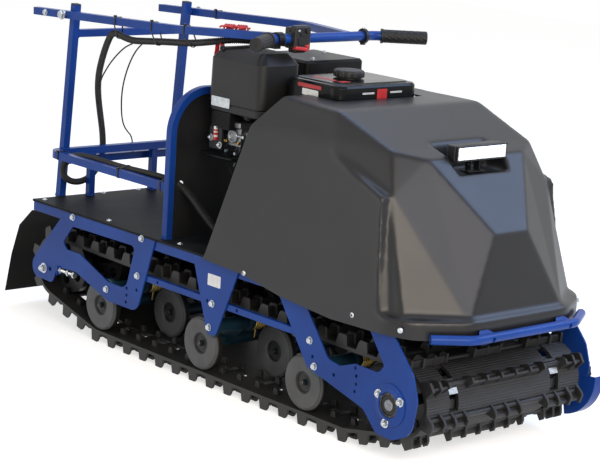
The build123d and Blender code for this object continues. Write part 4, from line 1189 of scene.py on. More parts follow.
LEAD_ROUTE = [
    (-196, 1082, 798), (-187, 1108, 786), (-173, 1146, 762), (-160, 1180, 733), (-147, 1212, 699),
    (-133, 1241, 662), (-116, 1267, 624), (-95, 1293, 587), (-69, 1322, 556), (-38, 1353, 532),
    (-5, 1383, 513), (27, 1409, 496), (50, 1432, 473), (66, 1448, 448), (84, 1449, 436), (110, 1438, 430),
    (139.7, 1438, 430),
]
LOOM_D = 18
LOOM_WAVE = 5.0             # pitch of the sleeve's corrugation
LOOM_DEEP = 1.4
CABLE_D = 4
print("routes of", len(LOOM_ROUTE) + len(ARM_LOOM_ROUTE) + len(THROTTLE_ROUTE) + len(LEAD_ROUTE), "points")

# %% [markdown]
# A NURBS spline smooths each route, and a tube of rings follows it. The sleeve's rings swell and
# shrink with its corrugation, which is plain geometry here, as it shows against the light.

# %% Tubes along a line
def smooth_line(name, route):
    """Points of a cord's smooth line, read from its NURBS spline."""
    curve = bpy.data.curves.new(name, "CURVE")
    curve.dimensions = "3D"
    curve.resolution_u = 16
    spline = curve.splines.new("NURBS")
    spline.points.add(len(route) - 1)
    for point, place in zip(spline.points, route):
        point.co = (*at(*place), 1)
    spline.order_u = 3
    spline.use_endpoint_u = True
    holder = bpy.data.objects.new(name, curve)
    scene.collection.objects.link(holder)
    line = bpy.data.meshes.new_from_object(holder)
    points = [vert.co.copy() for vert in line.vertices]
    bpy.data.objects.remove(holder)
    return points


def tube_along(bm, points, spacing, radius_at, sides=10):
    """A tube along points: rings a spacing apart, each radius from the distance, all in metres."""
    steps = [(b - a).length for a, b in zip(points, points[1:])]
    total = sum(steps)
    count = max(2, int(total / spacing))
    rings = []
    normal = None
    i, passed = 0, 0.0
    for k in range(count + 1):
        s = total * k / count
        while i < len(steps) - 1 and passed + steps[i] < s:
            passed += steps[i]
            i += 1
        place = points[i].lerp(points[i + 1], min(1, (s - passed) / steps[i]))
        before = points[max(0, i - 1)]
        after = points[min(len(points) - 1, i + 2)]
        tangent = (after - before).normalized()
        if normal is None:
            normal = tangent.orthogonal().normalized()
        normal = (normal - tangent * normal.dot(tangent)).normalized()
        side = tangent.cross(normal)
        ring = []
        for j in range(sides):
            angle = 2 * math.pi * j / sides
            outwards = normal * math.cos(angle) + side * math.sin(angle)
            ring.append(bm.verts.new(place + outwards * radius_at(s)))
        rings.append(ring)
    skin(bm, rings)


print("tube tool ready")

# %% [markdown]
# The handle folds back round its two pivot bolts. The sleeve along the arm rides the handle. The cords
# between the posts and the arms ride no body: their places are baked into their meshes.

# %% Cords
PIVOT_Y, PIVOT_Z = 1393, 839


def corrugated(s):
    """Radius of the sleeve at a distance, all in metres: a wave of even pitch."""
    share = (s * 1000 / LOOM_WAVE) % 1
    return (LOOM_D / 2 - (0 if share < 0.5 else LOOM_DEEP)) / 1000


def bend_with_handle(made):
    """Bake a cord's placement into its mesh, so that it stands fixed in the frame."""
    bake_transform(made)


bm = bmesh.new()
tube_along(bm, smooth_line("arm_loom", ARM_LOOM_ROUTE), 0.00125, corrugated)
piece("arm_loom_sleeve", bm, engine_plastic, body="handle", sharp=40, stands_for=["arm_loom"])
bm = bmesh.new()
tube_along(bm, smooth_line("loom", LOOM_ROUTE), 0.00125, corrugated)
sleeve = piece("loom_sleeve", bm, engine_plastic, body=None, sharp=40, stands_for=["loom"])
bend_with_handle(sleeve)
for name, route in (("throttle_cable", THROTTLE_ROUTE), ("rear_lead", LEAD_ROUTE)):
    bm = bmesh.new()
    tube_along(bm, smooth_line(name, route), 0.004, lambda s: CABLE_D / 2000, 10)
    jacket = piece(name + "_jacket", bm, soft_rubber, body=None, sharp=60, stands_for=[name])
    bend_with_handle(jacket)
print("cords done")

# %% [markdown]
# ## Softened steel
# Bought square tube has rounded corners and a laser-cut plate has a broken edge. So the blue frame
# and the plates are copied from the CAD model, merged, cleared of needless edges and bevelled. A
# Boolean cuts the small spare holes before the bevel.

# %% Softening a CAD copy
def softened(node, width_mm, finish, holes=None, body="chassis", segments=2):
    """A bevelled copy of a CAD node that takes its place. Holes is an object to cut out."""
    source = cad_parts[node]
    mesh = source.data.copy()
    mesh.transform(source.matrix_world)
    bm = bmesh.new()
    bm.from_mesh(mesh)
    bmesh.ops.remove_doubles(bm, verts=bm.verts, dist=0.00002)
    bmesh.ops.dissolve_limit(bm, angle_limit=math.radians(1), verts=bm.verts, edges=bm.edges)
    bm.to_mesh(mesh)
    bm.free()
    copy = loose(node + " copy", mesh)
    if holes:
        cut = copy.modifiers.new("holes", "BOOLEAN")
        cut.operation = "DIFFERENCE"
        cut.solver = "EXACT"
        cut.object = holes
    edge = copy.modifiers.new("edge", "BEVEL")
    edge.width = width_mm / 1000
    edge.segments = segments
    edge.limit_method = "ANGLE"
    edge.angle_limit = math.radians(32)
    rounded = evaluated(copy, node + " softened")
    piece(node + "_softened", rounded, finish, body=body, sharp=40, stands_for=[node])


def pins(places, across, long):
    """An object of round pins, to cut holes with. Each place points along its pin."""
    bm = bmesh.new()
    for place, wide in zip(places, across):
        lathe(bm, place, [(0, 0), (wide / 2, 0), (wide / 2, long), (0, long)], 24)
    bmesh.ops.recalc_face_normals(bm, faces=bm.faces)
    return drafted("pins", bm)


def side_pins(holes, low, high):
    """Pins on both sides of the vehicle, one for each hole (y, z, diameter)."""
    places = [out_of(side * low, y, z, (side, 0, 0)) for y, z, _ in holes for side in (-1, 1)]
    return pins(places, [across for _, _, across in holes for _ in (-1, 1)], high - low)


print("softening tools ready")

# %% Plates, bars and bumper
PLATE_OUT = 285.0           # outer face of the side plates
SPARE_HOLES = [             # y, z, diameter
    (981, 189, 9), (980, 171, 9), (982, 152, 9), (939, 193, 9), (262, 188, 9), (187, 164, 9), (117, 198, 8),
    (113, 180, 8), (112, 162, 8), (115, 144, 8), (653, 231, 9), (1326, 165, 12),
]
SLIDE_HOLES = [(546, 230, 8), (860, 230, 8)]
BUMPER_HOLES = [-113, 139]
BUMPER_HOLE_D = 11

cutter = side_pins(SPARE_HOLES, PLATE_OUT - 10, PLATE_OUT + 6)
for node in ("rear_plates", "middle_plates", "front_plates"):
    softened(node, 0.7, blue_coat, holes=cutter)
bpy.data.objects.remove(cutter)
cutter = side_pins(SLIDE_HOLES, 250, 290)
softened("slide_bars", 1.2, blue_coat, holes=cutter)
bpy.data.objects.remove(cutter)
bumper_places = [out_of(x, -145, 302, (0, 1, 0)) for x in BUMPER_HOLES]
cutter = pins(bumper_places, [BUMPER_HOLE_D] * len(BUMPER_HOLES), 22)
softened("bumper", 0.8, blue_coat, holes=cutter)
bpy.data.objects.remove(cutter)
print("holes:", 2 * len(SPARE_HOLES + SLIDE_HOLES) + len(BUMPER_HOLES))

# %% Tubes, guard and boards
for node in ("deck_frame", "rear_posts", "rack_ring", "hoop_frame"):
    softened(node, 2.2, blue_coat)
softened("handle_frame", 2.2, blue_coat, body="handle")
softened("chain_guard", 0.8, blue_coat)
softened("jack_stand", 0.8, blue_coat)
softened("deck_panel", 0.8, deck_film)
softened("hoop_panel", 0.8, engine_plastic)
softened("rear_flap", 1.0, sheet_rubber)
print("frame softened")

# %% [markdown]
# Two pressed gussets stiffen the bumper tube where it meets its tabs.

# %% Bumper gussets
GUSSET = [(-132, 296, 0), (-125, 313, 0), (-112, 321, 14), (-111.5, 296, 14)]      # y, z, taper
bm = bmesh.new()
for x0, x1 in ((-152, -98), (98, 152)):
    ends = ((x0, 1), (x1, -1))
    skin(bm, [[bm.verts.new(at(x + inwards * taper, y, z)) for y, z, taper in GUSSET] for x, inwards in ends])
bmesh.ops.recalc_face_normals(bm, faces=bm.faces)
bmesh.ops.bevel(bm, geom=bm.edges[:], offset=0.0008, segments=2, affect="EDGES")
piece("bumper_gussets", bm, blue_coat, sharp=40)
print("gussets done")

# %% [markdown]
# A weld bead is a rippled tube along a joint, under the same powder coat as the frame. The ripple
# repeats every 4.5 mm, as the welder's hand does.

# %% Weld beads
BOARD_TOP = 340             # top of the deck board
WELD_Z = BOARD_TOP + 1
BEAD_R = 2.2
BEAD_RIPPLE = 0.35
RIPPLE_PITCH = 4.5


def bead_radius(s):
    """Radius of a weld bead at a distance, both in metres."""
    return (BEAD_R + BEAD_RIPPLE * math.sin(s * 1000 * 2 * math.pi / RIPPLE_PITCH)) / 1000


def weld(bm, corners):
    """A weld bead along straight runs between drawing points."""
    points = []
    for a, b in zip(corners, corners[1:]):
        start_at, end_at = at(*a), at(*b)
        steps = max(2, int((end_at - start_at).length / 0.004))
        points += [start_at.lerp(end_at, k / steps) for k in range(steps)]
    points.append(at(*corners[-1]))
    tube_along(bm, points, 0.0016, bead_radius, 6)


def around(x, y, z, half):
    """Corners of a level square round a tube's foot."""
    turns = ((-1, -1), (1, -1), (1, 1), (-1, 1), (-1, -1))
    return [(x + a * half, y + b * half, z) for a, b in turns]


def post_y(z):
    """Middle of the leaning rear posts at a height."""
    return 1433 - 42 * (z - 309) / 556


bm = bmesh.new()
for side in (-1, 1):
    weld(bm, around(side * 187, 1431.5, WELD_Z, 10))
    weld(bm, around(side * 256, 862, WELD_Z, 10))
    for z in (788, 438):
        y = post_y(z)
        for edge_z in (z - 10, z + 10):
            weld(bm, [(side * 177, y - 10, edge_z), (side * 177, y + 10, edge_z)])
    weld(bm, [(side * 246, 873, 457), (side * 246, 873, 477)])
    weld(bm, [(side * 45, 1420, 324), (side * 24, 1421, 324)])
for x in (-113, 98):
    weld(bm, around(x, 1397, WELD_Z, 9))
    weld(bm, around(x, 1397, 457, 9))
piece("weld_beads", bm, blue_coat, sharp=60)
print("welds done")

# %% [markdown]
# Each open end of a square tube is closed by a domed plug of black plastic.

# %% Tube plugs
def plug(bm, place, half=10.0):
    """A domed square plug in the end of a tube."""
    soft_box(bm, place, (-half, -half, 0), (half, half, 2.6), 1.2, 3)


bm = bmesh.new()
for side in (-1, 1):
    plug(bm, out_of(side * 187, 1391.2, 865.2, (0, -0.0753, 0.9972), (0, 1, 0)))
piece("post_plugs", bm, hub_black, sharp=40)
bm = bmesh.new()
for side in (-1, 1):
    plug(bm, out_of(side * 212, 1538.1, 833.0, (0, 0.9992, -0.0401)))
piece("arm_plugs", bm, hub_black, body="handle", sharp=40)
print("plugs done")

# %% [markdown]
# ## Bearings, bolts and nuts
# The bolts that show are zinc-plated, on stamped washers. Heads and nuts are turned with six
# sides, and threads show as fine rings where a stud stands out.

# %% Nuts and screws
THREAD = 1.25


def nut_on_stud(bm, place, across=13, tall=7, stud=9, stud_d=8):
    """A washer, a chamfered nut and a threaded stud end."""
    corner = across / math.sqrt(3)
    rim = across * 0.82
    top = tall + 1.6
    lathe(bm, place, [(0, 0), (rim, 0), (rim, 1.2), (across * 0.8, 1.6), (0, 1.6)], 24)
    lathe(bm, place, [(0, 1.6), (corner * 0.9, 1.6), (corner, 2.4), (corner, top - 0.8), (corner * 0.9, top),
                      (0, top)], 6)
    profile = [(0, top)]
    for k in range(int((stud - tall) / THREAD)):
        z = top + k * THREAD
        profile += [(stud_d / 2 - 0.45, z), (stud_d / 2, z + 0.6)]
    end = profile[-1][1] + 0.8
    lathe(bm, place, profile + [(stud_d / 2 - 0.8, end), (0, end)], 14)


def button_screw(bm, place, across=11, tall=3.2):
    """A round-headed screw with a socket in it."""
    r = across / 2
    profile = [(0, 0), (r, 0), (r, 0.5), (r * 0.93, tall * 0.55), (r * 0.75, tall * 0.85), (r * 0.52, tall),
               (r * 0.48, tall), (r * 0.42, tall - 1.8), (0, tall - 1.8)]
    lathe(bm, place, profile, 18)


print("nuts and screws ready")

# %% Bolts of the side plates
PLATE_BOLTS = [             # y, z
    (1228, 326), (926, 330), (937, 231), (1067, 167), (633, 228), (641, 167), (273, 224), (253, 167),
    (380, 322), (340, 322),
]
BEARING_NUTS = [(34, 161), (-35, 159), (7, 100)]
FLANGE_THICK = 3.2
bm = bmesh.new()
for side in (-1, 1):
    for y, z in PLATE_BOLTS:
        hex_head(bm, out_of(side * PLATE_OUT, y, z, (side, 0, 0), (0, 0.3, 1)), 13, 5.3, 18)
    nut_on_stud(bm, out_of(side * PLATE_OUT, IDLER_Y, IDLER_Z, (side, 0, 0), (0, 0.2, 1)), 17, 8, 13, 11)
for y, z in BEARING_NUTS:
    nut_on_stud(bm, out_of(-PLATE_OUT - FLANGE_THICK, y, z, (-1, 0, 0), (0, 0.4, 1)), 13, 6, 9, 8)
piece("plate_bolts", bm, zinc, sharp=30)
print("plate bolts:", 2 * len(PLATE_BOLTS))

# %% [markdown]
# The drive axle turns in a flanged bearing on the right plate: a pressed flange, a steel ring, a
# rubber seal and the shaft's turned end, each a lathed section round the axle. On the left the
# chain's sprocket has its hub and four bolts there.

# %% Drive bearing and sprocket hub
FLANGE = [(49, 0), (49, 2), (48, 3), (38, FLANGE_THICK), (34, 5.6), (31, 6), (29, 5.5), (28.2, 3),
          (28.2, 0), (49, 0)]
RACE = [(28, 0), (28, 3.6), (26.6, 4.4), (23.5, 4.4), (23, 3.2), (23, 0), (28, 0)]
SEAL = [(23, 0), (23, 2.4), (21, 3), (16, 2.2), (14.5, 3), (13.4, 2.8), (13.4, 0), (23, 0)]
SHAFT_END = [(13, 0), (13, 3.6), (12, 4.6), (4, 4.6), (3, 3.4), (1.6, 2.6), (0, 2.4)]
BEARING_PARTS = [
    ("bearing_flange", FLANGE, 64, blue_coat), ("bearing_ring", RACE, 56, oiled_chain),
    ("bearing_seal", SEAL, 48, soft_rubber), ("shaft_end", SHAFT_END, 40, turned_steel),
]
HUB_BOLT_R = 46
for name, section, sides, finish in BEARING_PARTS:
    bm = bmesh.new()
    lathe(bm, out_of(-PLATE_OUT, 0, DRIVE_Z, (-1, 0, 0)), section, sides)
    piece(name, bm, finish, sharp=40)
bm = bmesh.new()
hub = out_of(CHAIN_X + 2.5, 0, DRIVE_Z, (1, 0, 0))
lathe(bm, hub, [(30, 0), (30, 5), (28.5, 6.5), (14, 6.5), (12.2, 5.5), (12.2, 0), (30, 0)], 48)
for k in range(4):
    angle = math.radians(45 + 90 * k)
    y, z = HUB_BOLT_R * math.cos(angle), DRIVE_Z + HUB_BOLT_R * math.sin(angle)
    hex_head(bm, out_of(CHAIN_X + 2.5, y, z, (1, 0, 0)), 10, 4.5, 14)
piece("sprocket_hub", bm, turned_steel, sharp=30)
print("bearing done")

# %% [markdown]
# A long threaded bolt lies in front of each rear lobe and pulls the rear axle back, to tighten the
# track. It is screwed into a small tab on the lobe's end.

# %% Tensioners of the rear axle
TENSION_Y, TENSION_Z = 1214, 171
TENSION_X = PLATE_OUT - 3
TENSION_THREAD = 1.2
TENSION_NUTS = ((0, 8), (27, 7), (62, 7))               # distance along the bolt, height
bm = bmesh.new()
for side in (-1, 1):
    stud = out_of(side * TENSION_X, TENSION_Y, TENSION_Z, (0, 1, 0))
    profile = [(0, 2)]
    for k in range(58):
        profile += [(3.3, TENSION_THREAD * k + 2.3), (4.0, TENSION_THREAD * k + 2.9)]
    lathe(bm, stud, profile + [(3.0, 74), (0, 74)], 12)
    for slide, tall in TENSION_NUTS:
        section = [(0, 0), (8, 0), (8.6, 1), (8.6, tall - 1), (8, tall), (0, tall)]
        lathe(bm, raise_by(stud, slide), section, 6)
piece("tensioner_studs", bm, zinc, sharp=30)
bm = bmesh.new()
for side in (-1, 1):
    tab = out_of(side * TENSION_X, TENSION_Y + 70, TENSION_Z, (0, 1, 0), (0, 0, 1))
    soft_box(bm, tab, (-10, -13, 0), (10, 11, 3), 0.8)
piece("tensioner_tabs", bm, blue_coat, sharp=40)
print("tensioners done")

# %% Screws of the board and the hood, bolts of the handle
BOARD_SCREWS = [            # x, y
    (-262, 1395), (-262, 1100), (-262, 800), (262, 1395), (262, 1100), (262, 800), (-60, 1408), (60, 1408),
]
HOOD_SCREWS = [             # half width, y, z and outward direction
    (303.1, 500, 335, (1, 0, 0.02)), (303.1, 120, 322, (1, 0, 0.02)), (291.3, -22, 319, (0.82, -0.57, 0)),
]
bm = bmesh.new()
for x, y in BOARD_SCREWS:
    button_screw(bm, out_of(x, y, BOARD_TOP, (0, 0, 1), (0.2, 1, 0)), 14, 3)
for side in (-1, 1):
    for x, y, z, (out_x, out_y, out_z) in HOOD_SCREWS:
        button_screw(bm, out_of(side * x, y, z, (side * out_x, out_y, out_z)), 13, 3)
piece("board_and_hood_screws", bm, zinc, sharp=35)
bm = bmesh.new()
for side in (-1, 1):
    hex_head(bm, out_of(side * 230.2, PIVOT_Y, PIVOT_Z, (side, 0, 0), (0, 0.3, 1)), 19, 7, 27)
piece("pivot_heads", bm, zinc, sharp=30)
bm = bmesh.new()
for side in (-1, 1):
    hex_head(bm, out_of(side * 222.2, 1481, 835, (side, 0, 0), (0, 0.3, 1)), 13, 5, 18)
piece("tail_bolts", bm, zinc, body="handle", sharp=30)
print("fasteners done")

# %% [markdown]
# ## Lamp
# A bar lamp on a steel foot. The housing is die-cast with cooling fins behind, and a frame with
# rounded corners holds the cover. Soft boxes give both.

# %% Lamp housing and frame
LAMP_Z = 680
LAMP_CUPS_Y = 57.2
CUP_PITCH = 25.4
CUP_ROWS = (672.6, 687.4)
FRAME_HALF_X, FRAME_HALF_Z = 80.5, 17.6
FRAME_BAR = 3.2
bm = bmesh.new()
soft_box(bm, out_of(0, 60, LAMP_Z, (0, -1, 0)), (-81, -18, -22), (81, 18, 2), 3.5, 3)
for k in range(9):
    soft_box(bm, out_of(0, 88, 664 + 4 * k, (0, 1, 0)), (-74, -0.9, -6), (74, 0.9, 3.6), 0.5, 1)
piece("lamp_housing", bm, hub_black, sharp=40, stands_for=["lamp_body"])
bm = bmesh.new()
front = out_of(0, 52, LAMP_Z, (0, -1, 0))
x, z = FRAME_HALF_X, FRAME_HALF_Z
for side in (-1, 1):
    low, high = sorted((side * z, side * (z - FRAME_BAR)))
    soft_box(bm, front, (-x - 0.2, low, -4), (x + 0.2, high, 2), 0.9)
    low, high = sorted((side * x, side * (x - FRAME_BAR)))
    soft_box(bm, front, (low, -z - 0.2, -4), (high, z + 0.2, 2), 0.9)
    soft_box(bm, upright(side * 14, 78, 635), (-1.4, -9, 0), (1.4, 9, 28), 0.7)
soft_box(bm, upright(0, 78, 633), (-26, -16, 0), (26, 16, 2.6), 0.8)
piece("lamp_frame", bm, hub_black, sharp=40)
print("lamp housing done")

# %% [markdown]
# Twelve metallised cups in two rows stand behind the clear cover, each with its light. A cup is
# turned and then flattened, because the rows lie closer together than the cups in a row.

# %% Cups, lights and cover
def cup_places():
    """The local frame of each cup, looking forward."""
    return [out_of(-63.5 + CUP_PITCH * k, LAMP_CUPS_Y, z, (0, -1, 0)) for z in CUP_ROWS for k in range(6)]


bm = bmesh.new()
soft_box(bm, out_of(0, 60, LAMP_Z, (0, -1, 0)), (-77, -15, 2.2), (77, 15, 3.4), 0.5, 1)
for cup in cup_places():
    flattened_cup = cup @ Matrix.Diagonal((1, 0.57, 1, 1))
    lathe(bm, flattened_cup, [(12.6, 5.2), (11.6, 5.4), (9.5, 2.8), (6.5, 1.2), (3.2, 0.4), (0, 0.3)], 24)
piece("lamp_cups", bm, reflector, sharp=50)
bm = bmesh.new()
for cup in cup_places():
    lathe(bm, cup, [(0, 0.4), (3.4, 0.4), (3.4, 1.4), (2.6, 2.6), (0, 3.2)], 16)
piece("lamp_diodes", bm, white_label, sharp=50)
bm = bmesh.new()
soft_box(bm, out_of(0, 51.4, LAMP_Z, (0, -1, 0)), (-77.2, -14.4, -1.2), (77.2, 14.4, 1.2), 0.9)
piece("lamp_cover", bm, lamp_glass, sharp=50, stands_for=["lamp_lens"])
bm = bmesh.new()
for side in (-1, 1):
    button_screw(bm, out_of(side * 16, 78, 650, (side, 0, 0), (0, 0.2, 1)), 10, 3)
    button_screw(bm, out_of(side * 21, 70, 635.4, (0, 0, 1), (0.3, 1, 0)), 8, 2.4)
piece("lamp_screws", bm, hub_black, sharp=35)
print("lamp cups:", len(cup_places()))

# %% [markdown]
# ## Engine
# The small engine's housings are pressed or moulded, so their edges are round. The air box and the
# tank are stacks of rounded outlines, with a seam where their halves meet, and a bevel on top.

# %% Moulded cases
AIR_BOX = [(676, 5), (679, 2), (694, 2), (695.5, 3.4), (697, 2), (699, 0), (806, 1.5), (822, 14), (832, 25)]
TANK = [(690, 3), (696, 0), (716, 0), (717.5, -1.2), (720, -1.2), (721.5, 0), (779, 0.6), (784.5, 5),
        (785.5, 16), (787.6, 19), (788, 26)]


def round_outline(x0, x1, y0, y1, radius, steps=5):
    """A rectangle in plan with round corners, counterclockwise."""
    points = []
    for cx, cy, start_at in ((x1, y1, 0), (x0, y1, 90), (x0, y0, 180), (x1, y0, 270)):
        middle_x = cx - radius if cx == x1 else cx + radius
        middle_y = cy - radius if cy == y1 else cy + radius
        for k in range(steps + 1):
            angle = math.radians(start_at + 90 * k / steps)
            points.append((middle_x + radius * math.cos(angle), middle_y + radius * math.sin(angle)))
    return points


def moulded_case(node, sides, corner, levels, finish, bevel):
    """A closed case in plan sides (x0, x1, y0, y1) whose levels are (z, inset). It takes a node's place."""
    x0, x1, y0, y1 = sides
    bm = bmesh.new()
    rings = []
    for z, inset in levels:
        outline = round_outline(x0 + inset, x1 - inset, y0 + inset, y1 - inset, max(4, corner - inset * 0.5))
        rings.append([bm.verts.new(at(x, y, z)) for x, y in outline])
    skin(bm, rings)
    body = drafted(node, bm)
    edge = body.modifiers.new("edge", "BEVEL")
    edge.width = bevel / 1000
    edge.segments = 4
    edge.limit_method = "ANGLE"
    edge.angle_limit = math.radians(24)
    piece(node + "_case", evaluated(body, node), finish, sharp=50, stands_for=[node])


moulded_case("air_box", (-198, -66, 602, 806), 24, AIR_BOX, engine_plastic, 5.0)
moulded_case("fuel_tank", (-138, 128, 392, 590), 30, TANK, tank_enamel, 1.2)
softened("muffler_cover", 5.0, heat_paint, segments=4)
softened("engine_block", 0.9, cast_alloy)
softened("control_plate", 0.8, heat_paint)
softened("junction_box", 4.0, engine_plastic, segments=3)
softened("lead_plug", 2.0, hub_black)
print("cases done")

# %% [markdown]
# The fuel cap is moulded with twelve finger lobes. Its radius follows the cosine of twelve turns,
# and each level has its own depth of lobe.

# %% Fuel cap
TANK_TOP = 788
CAP_STEPS = 128
# Each level of the cap is its radius, its height and the depth of its lobes.
CAP_LEVELS = ((35.5, 3, 1.2), (37.6, 4.5, 2.6), (38, 14, 2.6), (36.6, 17.6, 1.8), (33, 19.8, 0.2))
bm = bmesh.new()
cap = upright(-14, 494, TANK_TOP)
lathe(bm, cap, [(0, 0), (30, 0), (30, 4), (0, 4)], 48)
rings = []
for radius, height, depth in CAP_LEVELS:
    ring = []
    for k in range(CAP_STEPS):
        angle = 2 * math.pi * k / CAP_STEPS
        r = radius - depth * max(0.0, math.cos(angle * 12)) ** 2
        ring.append(bm.verts.new(cap @ Vector((r * math.cos(angle), r * math.sin(angle), height))))
    rings.append(ring)
skin(bm, rings)
lathe(bm, cap, [(30, 19.7), (29, 18.9), (0, 18.7), (0, 19.4), (28, 19.5), (30, 19.7)], 64)
soft_box(bm, cap, (-24, -4.5, 16), (24, 4.5, 20), 1.6, 3)
piece("fuel_cap_scalloped", bm, hub_black, sharp=40, stands_for=["fuel_cap"])
print("fuel cap done")

# %% [markdown]
# The labels stay blank. Each is a thin vinyl rectangle with round corners that lies a fraction of
# a millimetre over its surface: on the side of the tank, its top, its front, the air box and the plate.

# %% Blank labels
TANK_SIDE = -138.2
TANK_LID = 788.1
TANK_FRONT = 391.8
AIR_BOX_SIDE = -198.5


def label(name, corners, finish, lift=0.25):
    """A blank sticker: four drawing points, in order, lifted off its surface."""
    bm = bmesh.new()
    points = [at(*corner) for corner in corners]
    normal = (points[1] - points[0]).cross(points[3] - points[0]).normalized() * lift / 1000
    low = [bm.verts.new(p - normal * 0.4) for p in points]
    high = [bm.verts.new(p + normal) for p in points]
    skin(bm, [low, high])
    between = [edge for edge in bm.edges if (edge.verts[0] in low) != (edge.verts[1] in low)]
    bmesh.ops.bevel(bm, geom=between, offset=0.0025, segments=3, affect="EDGES", profile=0.5)
    piece(name, bm, finish, sharp=30)


def side_corners(x, y_back, y_front, top, foot):
    """Corners of a label on a right-hand side."""
    return [(x, y_back, top), (x, y_back, foot), (x, y_front, foot), (x, y_front, top)]


def front_corners(x0, x1, top, foot):
    """Corners of a label on the tank's front."""
    return [(x0, TANK_FRONT, top), (x0, TANK_FRONT, foot), (x1, TANK_FRONT, foot), (x1, TANK_FRONT, top)]


def lid_corners(*plan):
    """Corners of a label on the tank's lid."""
    return [(x, y, TANK_LID) for x, y in plan]


label("plate_label", side_corners(-PLATE_OUT, 655, 606, 300, 271), white_label, 0.35)
label("tank_stripe_side", side_corners(TANK_SIDE, 536, 452, 778, 769), red_plastic)
label("tank_label_side", side_corners(TANK_SIDE, 519, 462, 766, 751), white_label)
label("tank_stripe_top", lid_corners((-91, 542), (-91, 458), (-76, 466), (-76, 545)), red_plastic)
label("tank_patch_top", lid_corners((-92, 452), (-92, 432), (-62, 432), (-62, 452)), red_plastic)
label("tank_line_left", front_corners(-62, -22, 768, 764), white_label)
label("tank_line_right", front_corners(28, 68, 768, 764), white_label)
label("tank_mark_front", front_corners(-14, 18, 775, 745), red_plastic)
label("air_box_label", side_corners(AIR_BOX_SIDE, 784, 714, 712, 688), zinc)
print("labels done")

# %% [markdown]
# The carburettor is an open casting with its throat towards the air box, a choke boss, a brass
# float bowl below and small brass jets. Boxes and turned bosses are joined round one point.

# %% Carburettor
CARB_X, CARB_Y = -150, 722
BOWL = [(24.5, 0), (25.5, 1), (25.5, 3), (24, 4), (24, 24), (22, 29), (14, 32), (7, 32.6), (0, 32.6)]
bm = bmesh.new()
soft_box(bm, upright(CARB_X, CARB_Y, 616), (-22, -26, -24), (22, 26, 24), 4, 3)
soft_box(bm, upright(CARB_X, CARB_Y, 646), (-27, -28, -6), (26, 28, 8), 3, 3)
lathe(bm, out_of(CARB_X, CARB_Y, 592, (0, 0, -1)), [(26, 0), (26, 3), (25, 4), (23, 4), (0, 4)], 40)
throat = out_of(CARB_X - 22, CARB_Y, 618, (-1, 0, 0))
lathe(bm, throat, [(0, 0), (17, 0), (17, 5), (15, 7), (11, 7), (9, 4), (0, 4)], 32)
lathe(bm, out_of(CARB_X, CARB_Y - 26, 624, (0, -1, 0)), [(0, 0), (9, 0), (9, 6), (7, 8), (0, 8)], 20)
soft_box(bm, out_of(CARB_X + 25.5, CARB_Y, 615, (1, 0, 0)), (-24, -22, -4), (24, 22, 4), 2, 2)
piece("carburettor_body", bm, cast_alloy, sharp=40, stands_for=["carburettor"])
bm = bmesh.new()
bowl = out_of(CARB_X, CARB_Y, 588, (0, 0, -1))
lathe(bm, bowl, BOWL, 48)
lathe(bm, bowl, [(0, 32), (5.5, 32), (5.5, 40), (4, 41), (0, 41)], 6)
piece("float_bowl", bm, brass, sharp=40)
bm = bmesh.new()
lathe(bm, out_of(-176, 700, 604, (-0.3, -0.6, 0)), [(0, 0), (4.5, 0), (4.5, 7), (3, 8), (3, 12), (0, 12)], 12)
lathe(bm, out_of(-176, 742, 604, (-1, 0, 0.1)), [(0, 0), (4, 0), (4, 5), (2.4, 6), (2.4, 9), (0, 9)], 12)
piece("carburettor_jets", bm, brass, sharp=35)
print("carburettor done")

# %% Idle screw with its spring, nuts and bolts
SPRING_TURNS = 8
SPRING_STEPS = 12
bm = bmesh.new()
screw = out_of(-178, 706, 622, (0, -1, 0))
lathe(bm, screw, [(0, 0), (2, 0), (2, 26), (5, 26.5), (5, 31), (4.4, 32), (0, 32)], 14)
turns = []
for k in range(SPRING_TURNS * SPRING_STEPS + 1):
    angle = 2 * math.pi * k / SPRING_STEPS
    rise = 2 + 23 * k / (SPRING_TURNS * SPRING_STEPS)
    turns.append(screw @ Vector((3.7 * math.cos(angle), 3.7 * math.sin(angle), rise)))
tube_along(bm, turns, 0.0012, lambda s: 0.0006, 6)
for y, z in ((787, 606), (752, 592)):
    nut_on_stud(bm, out_of(-190, y, z, (-1, 0, 0.1), (0, 0.3, 1)), 10, 5, 9, 6)
for x, y in ((-142, 700), (-142, 750), (-130, 800)):
    hex_head(bm, out_of(x, y, 565, (0, 0, 1), (0.4, 1, 0)), 8, 4, 12)
for side in (-1, 1):
    button_screw(bm, upright(CARB_X + side * 18, CARB_Y, 654), 7, 2.6)
piece("carburettor_hardware", bm, zinc, sharp=35)
print("hardware done")

# %% [markdown]
# A ribbed plastic duct leads from the air box to the carburettor. Beside it stands a small sensor
# that is banded in red and white.

# %% Intake duct and sensor
DUCT_RIBS = 11
RIB_STEP = 3.7
SENSOR = upright(-193, 768, 603)
bm = bmesh.new()
soft_box(bm, upright(-170, 749, 654), (-21, -30, -22), (24, 30, 22), 4, 3)
for k in range(DUCT_RIBS):
    rib = upright(-170, 749, 635 + RIB_STEP * k)
    soft_box(bm, rib, (-25.6, -34.6, -0.9), (25.6, 34.6, 0.9), 0.6, 1)
soft_box(bm, upright(-186, 776, 614), (-4, -28, -34), (4, 20, 20), 2, 2)
piece("intake_duct", bm, engine_plastic, sharp=40)
bm = bmesh.new()
for low, high in ((0, 7), (12, 18), (22, 26)):
    soft_box(bm, SENSOR, (-3.6, -4.5, low), (3.6, 4.5, high), 0.8)
piece("sensor_red", bm, red_plastic, sharp=40)
bm = bmesh.new()
for low, high in ((7, 12), (18, 22), (26, 34)):
    soft_box(bm, SENSOR, (-3.2, -4.1, low), (3.2, 4.1, high), 0.6)
piece("sensor_white", bm, white_label, sharp=40)
print("intake done")

